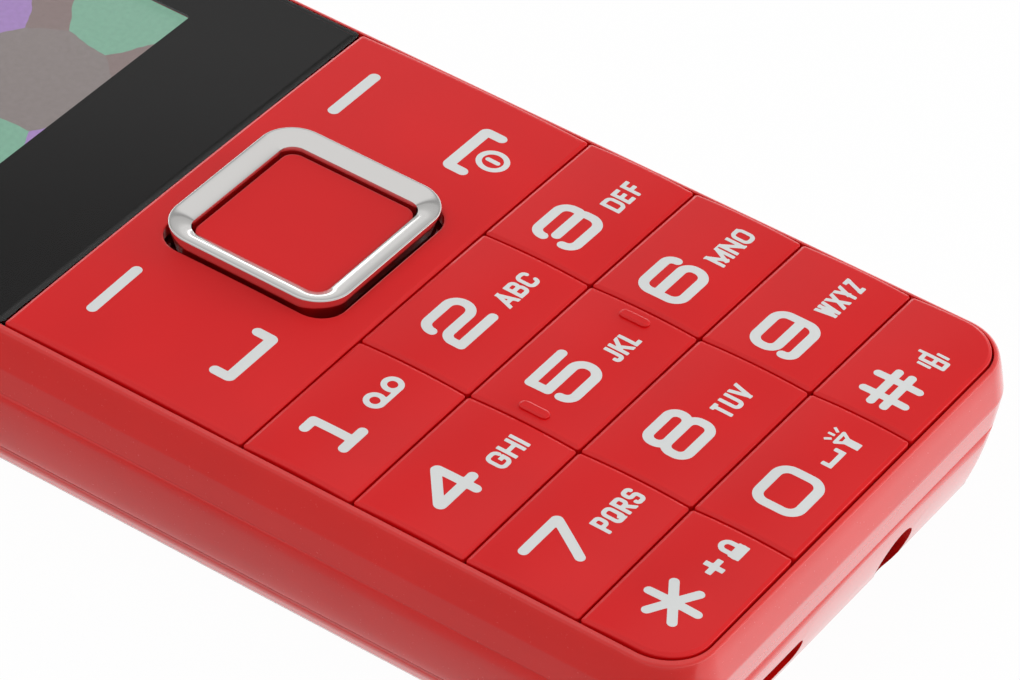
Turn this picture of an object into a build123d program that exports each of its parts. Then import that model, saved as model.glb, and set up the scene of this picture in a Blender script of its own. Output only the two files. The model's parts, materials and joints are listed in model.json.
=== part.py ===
from build123d import *
from math import asin, degrees, radians, sin, sqrt
import os

# Bar phone lying on its back, in millimetres.
# +Z points out of the face, +Y towards the earpiece, +X to the right of the face.
# The origin is the middle of the outline, on the surface that the back rests on.

# Face, from its foot to its head and from side to side
last_row = 8.96
key_pitch = 10.13
nav_length = 22.54
window_foot = 12.5          # from the function plate to the picture
view_length = 28.0
view_width = 35.0
view_top = 8.91             # from the picture to the face's head
middle_column = 17.0
side_column = 15.35

# Outline
edge_margin = 1.35          # widest outline outside the face outline
face_radius = 3.85          # corner of the face outline
side_wall = 0.5             # wall inside the face outline
rear_wall = 1.1             # the same, in the rear housing below its joint
joint_depth = 1.6           # thin wall below the parting
parting_height = 8.7        # front and rear housings meet
seam_height = 2.0           # back cover meets the rear housing
parting_inset = 0.25        # outline at the parting, inside the widest one
seam_inset = 1.68           # outline at the back cover's seam
middle_inset = 0.78         # outline midway between the two
back_edge_radius = 1.4      # long edges of the back
end_edge_radius = 2.4       # back edge of the two ends
end_rise = 0.6              # how far the back lifts at the ends
end_inset = 2.4             # end of the back inside the widest outline
end_slope = 0.5             # bevel above it, outwards over upwards
end_rise_length = 12.0
lip_height = 0.8            # tongue of the rear housing inside the front one
lip_width = 0.5
lip_clearance = 0.12
housing_gap = 0.05          # daylight between faces that meet

# Stack from the back to the face
cover_thickness = 1.2
battery_under = 0.25        # room between battery and cover
battery_height = 5.7
battery_over = 0.25
bay_roof = 0.9
can_clearance = 0.25
can_height = 1.6
board_thickness = 1.0
display_height = 1.82
display_clearance = 0.08
deck_thickness = 0.4
adhesive_thickness = 0.15
lens_thickness = 1.0
face_step = 0.6             # middle of the key tops above the window
cap_thickness = 1.3
key_travel = 0.35
press_clearance = 0.05
mat_thickness = 0.5
mat_margin = 0.4            # mat inside the front housing's wall
film_thickness = 0.1
dome_rise = 0.35

face_width = middle_column + 2 * side_column
face_length = last_row + 3 * key_pitch + nav_length + window_foot + view_length + view_top
body_width = face_width + 2 * edge_margin
body_length = face_length + 2 * edge_margin

battery_low = cover_thickness + battery_under
battery_top = battery_low + battery_height
roof_low = battery_top + battery_over
roof_top = roof_low + bay_roof
can_low = roof_top + can_clearance
board_low = can_low + can_height
board_top = board_low + board_thickness
film_top = board_top + film_thickness
dome_top = film_top + dome_rise
display_top = board_top + display_height
window_deck_low = display_top + display_clearance
window_deck_top = window_deck_low + deck_thickness
adhesive_top = window_deck_top + adhesive_thickness
rim_top = adhesive_top + lens_thickness
key_top = rim_top + face_step
cap_low = key_top - cap_thickness
key_deck_top = cap_low - key_travel - press_clearance
key_deck_low = key_deck_top - deck_thickness
mat_top = key_deck_low - press_clearance
mat_low = mat_top - mat_thickness
post_low = mat_top + key_travel + press_clearance
nub_low = dome_top + press_clearance

# Keys
camber = 0.25               # fall of the face from its middle to its sides
row_crown = 0.2             # rise of each key row over its own edges
rim_gap = 0.18              # groove between the keys and the rim
key_gap = 0.16              # groove between two keys
key_edge = 0.18
key_corner = 0.3
tactile_spread = 7.0
tactile_width = 1.0
tactile_length = 2.7
tactile_rise = 0.22
post_width = 5.0
post_length = 3.5
post_clearance = 0.4
post_corner = 0.5
window_corner = 0.8         # corners of the deck's windows
round_end = 0.49            # corner of a slot with round ends, as a share of its width

face_foot = -face_length / 2
face_head = face_length / 2
grid_top = face_foot + last_row + 3 * key_pitch
nav_top = grid_top + nav_length
nav_middle = (grid_top + nav_top) / 2
row_lines = [grid_top, grid_top - key_pitch, grid_top - 2 * key_pitch, face_foot + last_row, face_foot]
column_lines = [-face_width / 2, -middle_column / 2, middle_column / 2, face_width / 2]
key_names = [["key_1", "key_2", "key_3"], ["key_4", "key_5", "key_6"],
             ["key_7", "key_8", "key_9"], ["key_star", "key_0", "key_hash"]]

# Four-way ring and centre key
ring_swell = 0.35           # ring wider than the middle column, each side
ring_margin = 2.82          # plate above and below the ring
ring_band = 1.9
ring_corner = 3.8
ring_rise = 1.3             # outer edge over the plate
ring_dish = 0.5             # inner edge below the outer one
ring_draft = 0.2            # flare of the outer wall, each side
ring_hole_clearance = 0.2
ring_tilt = 1.5             # degrees each way
flange_margin = 1.0
flange_gap = 0.45           # flange inside its window in the key deck
ring_edge_radius = 0.25
ring_border = 0.35          # flat border outside the dished band
flange_thickness = 0.45
flange_drop = 0.5           # flange below the underside of the plate
ok_gap = 0.2
ok_drop = 0.35              # centre key below the inner edge of the ring
ok_travel = 0.3
rocker_margin = 0.35        # rocker inside the ring, each side
rocker_length = 8.0
rocker_thickness = 0.6
rocker_bar = 4.5            # bar that carries each side nub
rocker_rail = 1.5
rocker_corner = 1.0
rocker_clearance = 0.25
nub_margin = 1.05           # nubs inside the ring's outer edge
nub_radius = 0.9
nub_foot = 2.4
ok_edge_radius = 0.18
ok_post_radius = 1.4
mat_nub_radius = 1.2
mat_ring_gap = 0.7          # mat clear of the ring's flange
dome_radius = 1.9
dome_sides = 8
shoulder = 0.6              # a dome's shoulder, as a share of its radius
shoulder_rise = 0.75
dimple = 0.3
call_row = 5.2              # call and end keys above the number keys
soft_row = 4.94             # soft keys below the plate's head

ring_width = middle_column + 2 * ring_swell
ring_length = nav_length - 2 * ring_margin
ring_opening_width = ring_width - 2 * ring_band
ring_opening_length = ring_length - 2 * ring_band
rocker_width = ring_width - 2 * rocker_margin
nav_throw = ring_length / 2 - nub_margin

# Window, display and earpiece
lens_gap = 0.1
lens_corner = 0.5
lens_chamfer = 0.15
adhesive_inset = 0.3
panel_corner = 0.4
view_margin = 0.3
panel_side = 0.9            # glass beyond the picture
panel_chin = 4.4
panel_thickness = 1.0
light_thickness = 0.42
frame_wall = 0.4
frame_floor = 0.2
frame_gap = 0.08            # panel inside its frame
flex_width = 12.0
flex_thickness = 0.12
flex_reach = 5.5
flex_plug_width = 10.0
flex_plug_length = 2.0
flex_plug_height = 0.75
flex_plug_back = 0.2
flex_bend = 0.9             # cable turns down below the panel
flex_gap = 0.02
ear_offset = 3.7            # slot below the face's head
ear_slot_length = 10.5
ear_slot_width = 1.7
ear_length = 11.0
ear_width = 3.8
ear_height = 1.75
ear_mesh_thickness = 0.12
ear_mesh_margin = 1.3
ear_edge = 0.2

# Boards
board_end = 1.2             # main board inside the end walls
board_side = 1.5
board_corner = 1.5
port_board_side = 2.0
port_board_end = 0.25
link_width = 12.0
link_length = 3.0
link_back = 0.5
sheet_foot = 2.9            # dome film inside the foot wall
sheet_side = 1.7
sheet_head = 0.8
mat_head = 0.6              # mat below the function plate's head
radio_can = (23.0, 12.0)
radio_place = 12.0          # middle of the radio's can above the bay's head
base_can = (26.0, 20.0)
base_place = 16.0           # middle of the processor's can above the bay's foot
can_sheet = 0.25
can_corner = 0.6

# Screws
boss_inset = 3.15           # screws inside the face's edge
boss_radius = 2.0
screw_radius = 0.7
head_radius = 1.5
head_height = 0.9
screw_clearance = 0.15
thread_clearance = 0.02
screw_end_gap = 0.9         # tip below the key deck
head_recess = 0.3           # head above the seam
cross_length = 1.8
cross_width = 0.3
cross_depth = 0.4
boss_wall = 0.4             # rear boss wider than the front one
boss_gap = 0.5              # board and film clear of the bosses
boss_heads = 3.65           # from the head of the face to the upper pair
boss_lift = 2.4             # middle pair above the function plate

# Bottom end
end_wall = 3.5              # from the very end to the jack's face
port_skin = 0.9
port_half = 20.4            # half the width of the port chamber's deep part
port_seat = 0.15
jack_side = 8.5
jack_width = 6.2
jack_height = 5.0
jack_length = 12.4
jack_bore = 1.8
jack_bore_length = 11.6
jack_hole = 2.35
jack_chamfer = 0.5
jack_collar = 1.05          # round collar that stands in the hole
jack_collar_radius = 2.2
usb_side = -9.4
usb_width = 7.5
usb_height = 2.6
usb_length = 5.6
usb_shell = 0.3
usb_chamfer = 0.7
usb_tongue = 0.6
usb_tongue_side = 1.4       # tongue inside the shell's sides
usb_block = 1.0             # block behind the tongue
usb_leg = 0.8
usb_drop = 1.95             # middle of the slot below the port board
slot_margin = 0.15
port_board_thickness = 0.8
mic_side = -18.0
mic_hole = 0.5
mic_radius = 1.8
mic_depth = 1.5
boot_wall = 0.4
boot_floor = 0.5
port_end_wall = 0.9         # wall between the port chamber and the back cover
jack_rear_gap = 0.3

# Battery bay
bay_wall = 1.2
bay_margin = 0.55           # between the bay's wall and the screw heads
bay_room = 6.5              # between the bay and the motor, for the contacts
battery_side_gap = 0.3
battery_end_gap = 0.5
contact_width = 10.0
contact_depth = 2.4
contact_pitch = 3.0
contact_pad = 1.6
pad_depth = 0.4
contact_gap = 0.1           # contact block clear of the bay's wall
leaf_width = 0.8
leaf_height = 1.2
leaf_level = 2.6            # middle of the leaves above the battery's underside
battery_edge_radius = 1.2
notch_ball = 5.0            # nail notch in the cover's foot edge
notch_depth = 0.8
sim_width = 17.6
sim_length = 14.4
sim_sheet = 0.2
sim_stop = 0.8              # end stop for the card
sim_side = -4.0
sim_back = 17.0             # middle of the card holder below the bay's head
rib_width = 1.2
rib_length = 5.0
rib_side = 1.0              # ribs inside the bay's walls
rib_end = 4.5
skin = 0.9

port_face = -body_length / 2 + end_wall
jack_front = port_face + port_seat
jack_back = jack_front + jack_length
port_head = jack_back + jack_rear_gap
cover_end = port_head + port_end_wall
bay_foot = cover_end + bay_wall
boss_side = face_width / 2 - boss_inset
bay_half = boss_side - head_radius - screw_clearance - bay_margin - bay_wall
jack_low = port_skin + port_seat
jack_axis = jack_low + jack_height / 2
port_board_low = jack_low + jack_height
usb_axis = port_board_low - usb_drop
display_middle = face_head - view_top - view_length / 2
ear_middle = face_head - ear_offset
boss_rows = [grid_top - 2 * key_pitch, nav_top + boss_lift, face_head - boss_heads]

# Speaker, motor, antenna and torch
speaker_length = 20.0
speaker_width = 14.0
speaker_height = 3.3
speaker_back = 19.5         # middle of the speaker below the face's head
speaker_corner = 5.0
speaker_border = 1.5
speaker_edge = 0.4
cone_depth = 0.3
mesh_thickness = 0.1
grille_slots = 5
grille_pitch = 2.6
grille_slot = 1.2
grille_length = 11.0
motor_side = -15.0
motor_floor = 0.25
motor_radius = 2.2
motor_length = 8.0
cradle_length = 5.0
cradle_drop = 0.6           # top of the saddle below the motor's axis
motor_head = 31.5           # middle of the motor below the face's head
weight_length = 3.0
weight_gap = 0.5
weight_flat = 0.4           # the flat of the weight above the shaft's axis
shaft_grip = 2.8            # shaft inside the motor
shaft_end = 0.2
weight_radius = 2.0
shaft_radius = 0.4
shaft_clearance = 0.04
antenna_width = 32.0
antenna_depth = 7.0
antenna_height = 3.4
foil_thickness = 0.2
antenna_wall = 1.0
fold = 4.0                  # width of the antenna's folded arms
slot_width = 1.2
slot_back = 3.2             # cut below the antenna's head edge
feed_width = 1.5
antenna_back = 1.3          # antenna inside the head wall
torch_back = 3.2            # light inside the head wall
led_side = 3.2
led_depth = 1.6
led_bead = 0.3
key_led_width = 1.6
key_led_length = 0.8
key_led_height = 0.55
led_gap = 0.3               # film clear of the key lights
torch_side = 12.0
torch_radius = 1.4
torch_seat = 0.03
torch_tail = 0.7            # plug inside the head wall
led_height = 1.6
cover_slide = 4.0
pocket_margin = 0.8         # cover's pocket beyond the battery bay
pocket_head = 3.0           # solid strip of the cover at its head
tab_length = 2.5
tab_thickness = 0.8
tab_height = 1.1
tab_clearance = 0.2
tab_inset = 1.2             # hooks inside the rear housing's wall
tab_foot = 12.0             # lower hooks above the bay's foot
tab_head = 8.0              # upper hooks below the speaker's middle
cover_gap = 0.12            # groove at the cover's foot edge

motor_place = face_head - motor_head
motor_axis = seam_height + skin + motor_radius + motor_floor
bay_head = motor_place - motor_radius - bay_room
battery_foot = bay_foot + battery_end_gap
battery_head = bay_head - battery_end_gap
battery_width = 2 * (bay_half - battery_side_gap)


def outline(swell):
    """The body's plan outline, grown outwards from the face's edge."""
    return RectangleRounded(face_width + 2 * swell, face_length + 2 * swell, face_radius + swell)


def prism(sketch, low, high):
    """A flat sketch pulled up between two heights."""
    return Pos(0, 0, low) * extrude(sketch, amount=high - low)


def block(x0, x1, y0, y1, low, high):
    """A box between its lowest and highest corners."""
    box = Box(x1 - x0, y1 - y0, high - low)
    return Pos((x0 + x1) / 2, (y0 + y1) / 2, (low + high) / 2) * box


def slab(width, length, radius, low, high, x=0.0, y=0.0):
    """A plate with rounded upright corners, centred on x, y."""
    return prism(Pos(x, y) * RectangleRounded(width, length, radius), low, high)


def post(radius, low, high, x, y):
    """An upright round post."""
    return Pos(x, y, (low + high) / 2) * Cylinder(radius, high - low)


def faceted_post(radius, sides, low, high, x, y):
    """An upright post with flat sides, for small round pieces that repeat."""
    return prism(Pos(x, y) * RegularPolygon(radius, sides), low, high)


def rod(radius, start, end, x, z):
    """A round rod along Y."""
    return Pos(x, (start + end) / 2, z) * Rot(90, 0, 0) * Cylinder(radius, end - start)


def half_plane(y0, y1):
    """A wide rectangle between two Y values, for cutting sketches."""
    return Pos(0, (y0 + y1) / 2) * Rectangle(2 * body_width, y1 - y0)


def side_view():
    """The side view pulled across the body: a flat back that lifts and rounds off into sloping ends."""
    half = body_length / 2 - end_inset
    flat = half - end_rise_length
    rise_radius = (end_rise_length ** 2 + end_rise ** 2) / (2 * end_rise)
    middle = end_rise_length / 2
    middle_rise = rise_radius - sqrt(rise_radius ** 2 - middle ** 2)
    tall = key_top
    far = half + end_slope * (tall - end_rise)
    edges = [Line((-flat, 0), (flat, 0)),
             ThreePointArc((flat, 0), (flat + middle, middle_rise), (half, end_rise)),
             Line((half, end_rise), (far, tall)),
             Line((far, tall), (-far, tall)),
             Line((-far, tall), (-half, end_rise)),
             ThreePointArc((-half, end_rise), (-flat - middle, middle_rise), (-flat, 0))]
    profile = make_face(edges)
    corners = profile.vertices().filter_by(lambda v: abs(v.Z - 0) < 1e-6 and abs(v.Y - end_rise) < 1e-6)
    profile = fillet(corners, end_edge_radius)
    prism_across = extrude(profile, amount=body_width, both=True)
    return Plane.YZ * prism_across


def front_blank():
    """The front housing's outside: it swells to the widest outline and draws in to the rim."""
    height = rim_top - parting_height
    stations = [(0.0, parting_inset), (0.22, 0.06), (0.45, 0.0), (0.68, 0.2), (0.92, 0.62), (1.0, 0.85)]
    sections = []
    for share, inset in stations:
        level = parting_height + housing_gap + share * (height - housing_gap)
        sections.append(Pos(0, 0, level) * outline(edge_margin - inset))
    return loft(sections)


def face_surface(low, y0, y1, crown):
    """A bar across the face whose top is crowned along Y and cambered along X."""
    camber_radius = (face_width / 2) ** 2 / (2 * camber)
    edge = key_top - crown
    middle = (y0 + y1) / 2
    sketch = make_face([Line((y0, low), (y1, low)), Line((y1, low), (y1, edge)),
                        ThreePointArc((y1, edge), (middle, key_top), (y0, edge)),
                        Line((y0, edge), (y0, low))])
    profile = Plane.YZ * sketch
    axis = Axis((0, 0, key_top - camber_radius), (0, 1, 0))
    reach = 1.3 * degrees(asin(face_width / 2 / camber_radius))
    bar = revolve(profile, axis, 2 * reach)
    centre = key_top - camber_radius
    turn = Location((0, 0, centre)) * Rot(0, -reach, 0) * Location((0, 0, -centre))
    return turn * bar


def key_cell(row, column):
    """Plan outline of one number key, inside its grooves."""
    x0 = column_lines[column] + (key_gap / 2 if column > 0 else 0)
    x1 = column_lines[column + 1] - (key_gap / 2 if column < 2 else 0)
    y1 = row_lines[row] - key_gap / 2
    y0 = row_lines[row + 1] + (key_gap / 2 if row < 3 else 0)
    cell = Pos((x0 + x1) / 2, (y0 + y1) / 2) * RectangleRounded(x1 - x0, y1 - y0, key_corner)
    return cell & outline(0)


def post_place(row, column):
    """Middle of a number key's post, under the middle of the key."""
    x = (column_lines[column] + column_lines[column + 1]) / 2
    y = (row_lines[row] + row_lines[row + 1]) / 2
    return x, y


def side_post_places():
    """Posts of the soft keys and of the call and end keys."""
    x = (column_lines[2] + column_lines[3]) / 2
    return [(side * x, y) for side in (-1, 1) for y in (grid_top + call_row, nav_top - soft_row)]


def top_edges(solid):
    """The outline edges of the highest face."""
    face = solid.faces().sort_by(Axis.Z)[-1]
    return face.edges()


def number_key(row, column):
    """One key cap: crowned top, eased edge, and a post that passes through the deck."""
    bar = face_surface(cap_low, row_lines[row + 1], row_lines[row], row_crown)
    cap = prism(key_cell(row, column), cap_low, key_top + 1) & bar
    cap = chamfer(top_edges(cap), key_edge)
    x, y = post_place(row, column)
    cap += slab(post_width, post_length, post_corner, post_low, cap_low, x, y)
    if key_names[row][column] == "key_5":
        cap += tactile_bars(y)
    return cap


def tactile_bars(y):
    """The two raised bars that a finger feels on the middle key."""
    bars = []
    for side in (-1, 1):
        low = key_top - row_crown - camber
        bars.append(slab(tactile_width, tactile_length, tactile_width * round_end, low, key_top + tactile_rise,
                         side * tactile_spread, y))
    return bars


def function_plate():
    """One plate with the soft, call and end keys, open in the middle for the ring."""
    bar = face_surface(cap_low, grid_top, nav_top, row_crown)
    sketch = outline(0) & half_plane(grid_top + key_gap / 2, nav_top - key_gap / 2)
    plate = prism(sketch, cap_low, key_top + 1) & bar
    plate = chamfer(top_edges(plate), key_edge)
    grow = 2 * ring_hole_clearance - ring_draft
    plate -= slab(ring_width + grow, ring_length + grow, ring_corner, cap_low - 1, key_top + 1, 0, nav_middle)
    for x, y in side_post_places():
        plate += slab(post_width, post_length, post_corner, post_low, cap_low, x, y)
    return plate


def nav_ring():
    """Square ring with a dished top, a flared outer wall and a flange under the plate."""
    top = key_top + ring_rise
    flange_top = cap_low - flange_drop
    flange_low = flange_top - flange_thickness
    sections = []
    for level, flare in ((flange_top, -2 * ring_draft), (top, 0.0)):
        sections.append(ring_plan(flare, level))
    ring = loft(sections, ruled=True)
    ring = fillet(top_edges(ring), ring_edge_radius)
    ring -= loft([ring_plan(-2 * ring_border, top + 0.02), opening_plan(top - ring_dish)], ruled=True)
    ring += slab(ring_width + 2 * flange_margin, ring_length + 2 * flange_margin, ring_corner,
                 flange_low, flange_top, 0, nav_middle)
    ring -= extrude(opening_plan(flange_low - 1), amount=top + 1 - flange_low)
    for side in (-1, 1):
        y = nav_middle + side * nav_throw
        ring += block(-nub_foot, nub_foot, y - nub_radius, y + nub_radius, flange_low, flange_top)
        ring += post(nub_radius, nav_nub_low(), flange_low, 0, y)
    return ring


def ring_plan(flare, level):
    """The ring's outer outline at one height."""
    sketch = RectangleRounded(ring_width + flare, ring_length + flare, ring_corner + flare / 2)
    return Pos(0, nav_middle, level) * sketch


def opening_plan(level):
    """The ring's opening at one height."""
    radius = ring_corner - (ring_width - ring_opening_width) / 2
    return Pos(0, nav_middle, level) * RectangleRounded(ring_opening_width, ring_opening_length, radius)


def nav_nub_low():
    """Tip of the ring's and the rocker's nubs: clear of the domes at full tilt."""
    return nub_low + nav_throw * sin(radians(ring_tilt))


def nav_pivot():
    """Rocker frame under the ring: it tips left and right and bears on the side domes."""
    top = cap_low - flange_drop - flange_thickness - rocker_clearance
    low = top - rocker_thickness
    frame = slab(rocker_width, rocker_length, rocker_corner, low, top, 0, nav_middle)
    frame -= slab(rocker_width - 2 * rocker_bar, rocker_length - 2 * rocker_rail, rocker_corner,
                  low - 1, top + 1, 0, nav_middle)
    for side in (-1, 1):
        frame += post(nub_radius, nav_nub_low(), low, side * nav_throw, nav_middle)
    return frame


def ok_key():
    """Centre key inside the ring, with its post down to the middle dome."""
    top = key_top + ring_rise - ring_dish - ok_drop
    low = cap_low + press_clearance
    radius = ring_corner - (ring_width - ring_opening_width) / 2 - ok_gap / 2
    cap = slab(ring_opening_width - 2 * ok_gap, ring_opening_length - 2 * ok_gap, radius,
               low, top, 0, nav_middle)
    cap = fillet(top_edges(cap), ok_edge_radius)
    cap += post(ok_post_radius, dome_top + ok_travel + press_clearance, low, 0, nav_middle)
    return cap


def screw_places():
    """The six housing screws, in three rows."""
    return [(side * boss_side, y) for y in boss_rows for side in (-1, 1)]


def front_housing():
    """Front shell: rim, key deck with its post windows, window seat, screw bosses."""
    shell = front_blank()
    nav_edge = nav_top
    shell -= prism(outline(rim_gap) & half_plane(face_foot - 5, nav_edge), key_deck_top, rim_top + 1)
    shell -= prism(outline(rim_gap) & half_plane(nav_edge, face_head + 5), window_deck_top, rim_top + 1)
    shell -= prism(outline(-side_wall) & half_plane(face_foot - 5, nav_edge), parting_height - 1, key_deck_low)
    shell -= prism(outline(-side_wall) & half_plane(nav_edge, face_head + 5),
                   parting_height - 1, window_deck_low)
    shell -= prism(outline(-side_wall + lip_width + lip_clearance), parting_height - 1,
                   parting_height + lip_height + lip_clearance)
    for x, y in key_domes():
        half = post_width / 2 + post_clearance
        reach = post_length / 2 + post_clearance
        shell -= block(x - half, x + half, y - reach, y + reach, key_deck_low - 1, key_deck_top + 1)
    window = 2 * (flange_margin + flange_gap)
    shell -= slab(ring_width + window, ring_length + window, ring_corner, key_deck_low - 1, key_deck_top + 1,
                  0, nav_middle)
    shell -= slab(view_width + 2 * view_margin, view_length + 2 * view_margin, window_corner,
                  window_deck_low - 1, window_deck_top + 1, 0, display_middle)
    shell -= slab(ear_slot_length - 1, ear_slot_width + 0.2, ear_slot_width * 0.5,
                  window_deck_low - 1, window_deck_top + 1, 0, ear_middle)
    shell -= rod(torch_radius + torch_seat, face_head - 2, body_length / 2 + 1, torch_side, torch_height())
    for x, y in screw_places():
        deck = key_deck_low if y < nav_edge else window_deck_low
        shell += post(boss_radius, boss_meet() + housing_gap, deck + 0.1, x, y)
        shell -= post(screw_radius + thread_clearance, boss_meet() - 1, screw_top() + 0.1, x, y)
    return shell


def boss_meet():
    """Height where the bosses of the two housings meet."""
    return parting_height + lip_height / 2


def screw_top():
    """Tip of the housing screws."""
    return key_deck_low - screw_end_gap


def torch_height():
    """Height of the torch's axis."""
    return board_top + led_height / 2


def rear_blank():
    """The rear housing's outside, down to the seam, with the end strip down to the back."""
    middle = (seam_height + parting_height) / 2
    levels = [(seam_height, seam_inset), (middle, middle_inset), (parting_height, parting_inset)]
    upper = loft([Pos(0, 0, level) * outline(edge_margin - inset) for level, inset in levels])
    strip = back_blank() & block(-body_width, body_width, -body_length, cover_end, -1, seam_height)
    return upper + strip


def back_blank():
    """The lowest slice of the body, with its long edges rounded."""
    slice_ = prism(outline(edge_margin - seam_inset), 0, seam_height)
    bottom = slice_.faces().sort_by(Axis.Z)[0]
    return fillet(bottom.edges(), back_edge_radius)


def speaker_middle():
    """Middle of the loudspeaker along Y."""
    return face_head - speaker_back


def grille(low, high):
    """The row of sound slots over the loudspeaker."""
    first = -(grille_slots - 1) / 2
    slots = []
    for index in range(grille_slots):
        x = (first + index) * grille_pitch
        slots.append(slab(grille_slot, grille_length, grille_slot * round_end, low, high, x, speaker_middle()))
    return slots


def tab_places():
    """The cover's four hooks, two on each long side."""
    half = face_width / 2 - rear_wall - tab_inset
    return [(side * half, y) for side in (-1, 1) for y in (bay_foot + tab_foot, speaker_middle() - tab_head)]


def jack_mouth():
    """The round hole through the end wall."""
    return rod(jack_hole, -body_length / 2 - 1, port_face + 1, jack_side, jack_axis)


def usb_mouth():
    """The slot through the end wall."""
    width = usb_width + 2 * slot_margin
    height = usb_height - 2 * usb_shell + 2 * slot_margin
    sketch = RectangleRounded(width, height, height * 0.45)
    mouth = extrude(sketch, amount=end_wall + 3)
    return Pos(usb_side, -body_length / 2 - 1, usb_axis) * Rot(-90, 0, 0) * mouth


def rear_housing():
    """Rear shell: port end, battery bay, speaker chamber, screw bosses and joint lip."""
    shell = rear_blank() & side_view()
    inner = outline(-rear_wall) & half_plane(port_face, face_head + 5)
    cavity = prism(inner, seam_height + skin, parting_height)
    upper = outline(-side_wall) & half_plane(port_face, face_head + 5)
    cavity += prism(upper, parting_height - joint_depth, parting_height + 5)
    cavity += block(-port_half, port_half, port_face, port_head, port_skin, parting_height)
    cavity -= block(-bay_half - bay_wall, bay_half + bay_wall, bay_foot - bay_wall, bay_head + bay_wall,
                    0, roof_top)
    shell += prism(outline(-side_wall + lip_width), parting_height - 0.5, parting_height + lip_height)
    shell -= cavity
    shell -= block(-bay_half, bay_half, bay_foot, bay_head, 0, roof_low)
    for x, y in screw_places():
        shell += post(boss_radius + boss_wall, seam_height, boss_meet(), x, y)
        shell -= post(screw_radius + screw_clearance, seam_height - 1, boss_meet() + 1, x, y)
        shell -= post(head_radius + screw_clearance, seam_height - 1, screw_seat(), x, y)
    shell -= jack_mouth()
    shell -= usb_mouth()
    shell -= rod(mic_hole, -body_length / 2 - 1, port_face + 1, mic_side, usb_axis)
    shell -= grille(seam_height - 1, seam_height + skin + 1)
    shell -= contact_slot()
    shell -= sim_window()
    for x, y in tab_places():
        shell -= block(x - tab_thickness / 2 - tab_clearance, x + tab_thickness / 2 + tab_clearance,
                       y - tab_length / 2 - tab_clearance, y + tab_length / 2 + tab_clearance + cover_slide,
                       seam_height - 1, seam_height + skin + 1)
    shell += motor_cradle()
    shell += board_ribs()
    return shell


def screw_seat():
    """Height of the shoulder that a screw head pulls against."""
    return seam_height + head_height + head_recess


def contact_slot():
    """Gap in the bay's end wall for the battery contacts."""
    half = contact_width / 2 + can_clearance
    return block(-half, half, bay_head - 1, bay_head + bay_wall + 1, seam_height + skin, roof_top + 1)


def sim_window():
    """Window in the bay's roof, through which the card holder is reached."""
    x, y = sim_place()
    return slab(sim_width + 1, sim_length + 1, window_corner, roof_low - 1, roof_top + 1, x, y)


def sim_place():
    """Middle of the card holder."""
    return sim_side, bay_head - sim_back


def motor_cradle():
    """Saddle that carries the vibration motor."""
    y = motor_place
    low = seam_height + skin - 0.1
    saddle = block(motor_side - cradle_length / 2, motor_side + cradle_length / 2,
                   y - motor_radius, y + motor_radius, low, motor_axis - cradle_drop)
    bore = along_x(motor_radius + housing_gap, motor_side - motor_length, motor_side + motor_length,
                   y, motor_axis)
    return saddle - bore


def board_ribs():
    """Short ribs on the bay's roof that carry the main board."""
    ribs = []
    for x in (-bay_half + rib_side, bay_half - rib_side):
        for y in (bay_foot + rib_end, bay_head - rib_end):
            ribs.append(block(x - rib_width / 2, x + rib_width / 2, y - rib_length / 2, y + rib_length / 2,
                              roof_top - 0.1, board_low - housing_gap))
    return ribs


def back_cover():
    """Battery cover: rounded tray with sound slots, a nail notch and four hooks."""
    cover = back_blank() & side_view()
    top = seam_height - housing_gap
    cover &= block(-body_width, body_width, cover_end + cover_gap, body_length, -1, top)
    half = bay_half + pocket_margin
    cover -= block(-half, half, cover_end - 1, face_head - pocket_head, cover_thickness, seam_height + 1)
    cover -= grille(-1, cover_thickness + 1)
    cover -= Pos(0, cover_end, notch_depth - notch_ball) * Sphere(notch_ball)
    for x, y in tab_places():
        cover += block(x - tab_thickness / 2, x + tab_thickness / 2, y - tab_length / 2, y + tab_length / 2,
                       cover_thickness - 0.1, seam_height + tab_height)
    return cover


def window_lens():
    """Clear window with a chamfered edge and the earpiece slot."""
    sketch = outline(rim_gap - lens_gap) & half_plane(nav_top + lens_gap, face_head + 5)
    lens = prism(sketch, adhesive_top, rim_top)
    sharp = lens.edges().filter_by(Axis.Z).sort_by(Axis.Y)[0:2]
    lens = fillet(sharp, lens_corner)
    lens = chamfer(top_edges(lens), lens_chamfer)
    lens -= slab(ear_slot_length, ear_slot_width, ear_slot_width * round_end, adhesive_top - 1, rim_top + 1,
                 0, ear_middle)
    return lens


def window_adhesive():
    """Black frame behind the window, open over the picture and the earpiece."""
    foot = nav_top + lens_gap + adhesive_inset
    sketch = outline(rim_gap - lens_gap - adhesive_inset) & half_plane(foot, face_head + 5)
    frame = prism(sketch, window_deck_top, adhesive_top)
    frame -= slab(view_width, view_length, panel_corner, window_deck_top - 1, adhesive_top + 1,
                  0, display_middle)
    frame -= slab(ear_slot_length, ear_slot_width, ear_slot_width * round_end,
                  window_deck_top - 1, adhesive_top + 1, 0, ear_middle)
    return frame


def display_plan(extra, low, high):
    """A plate with the display panel's outline, grown on every side."""
    width = view_width + 2 * panel_side + 2 * extra
    foot = display_middle - view_length / 2 - panel_chin - extra
    head = display_middle + view_length / 2 + panel_side + extra
    return slab(width, head - foot, panel_corner, low, high, 0, (head + foot) / 2)


def display_frame():
    """Sheet-metal tray that holds the backlight and the panel."""
    low = board_top + housing_gap
    floor = low + frame_floor
    tray = display_plan(frame_wall, low, display_top - panel_thickness / 2)
    tray -= display_plan(frame_gap, floor, display_top + 1)
    foot = display_middle - view_length / 2 - panel_chin
    half = flex_width / 2 + rib_side
    tray -= block(-half, half, foot - 1, foot + frame_wall, floor, display_top + 1)
    return tray


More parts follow.
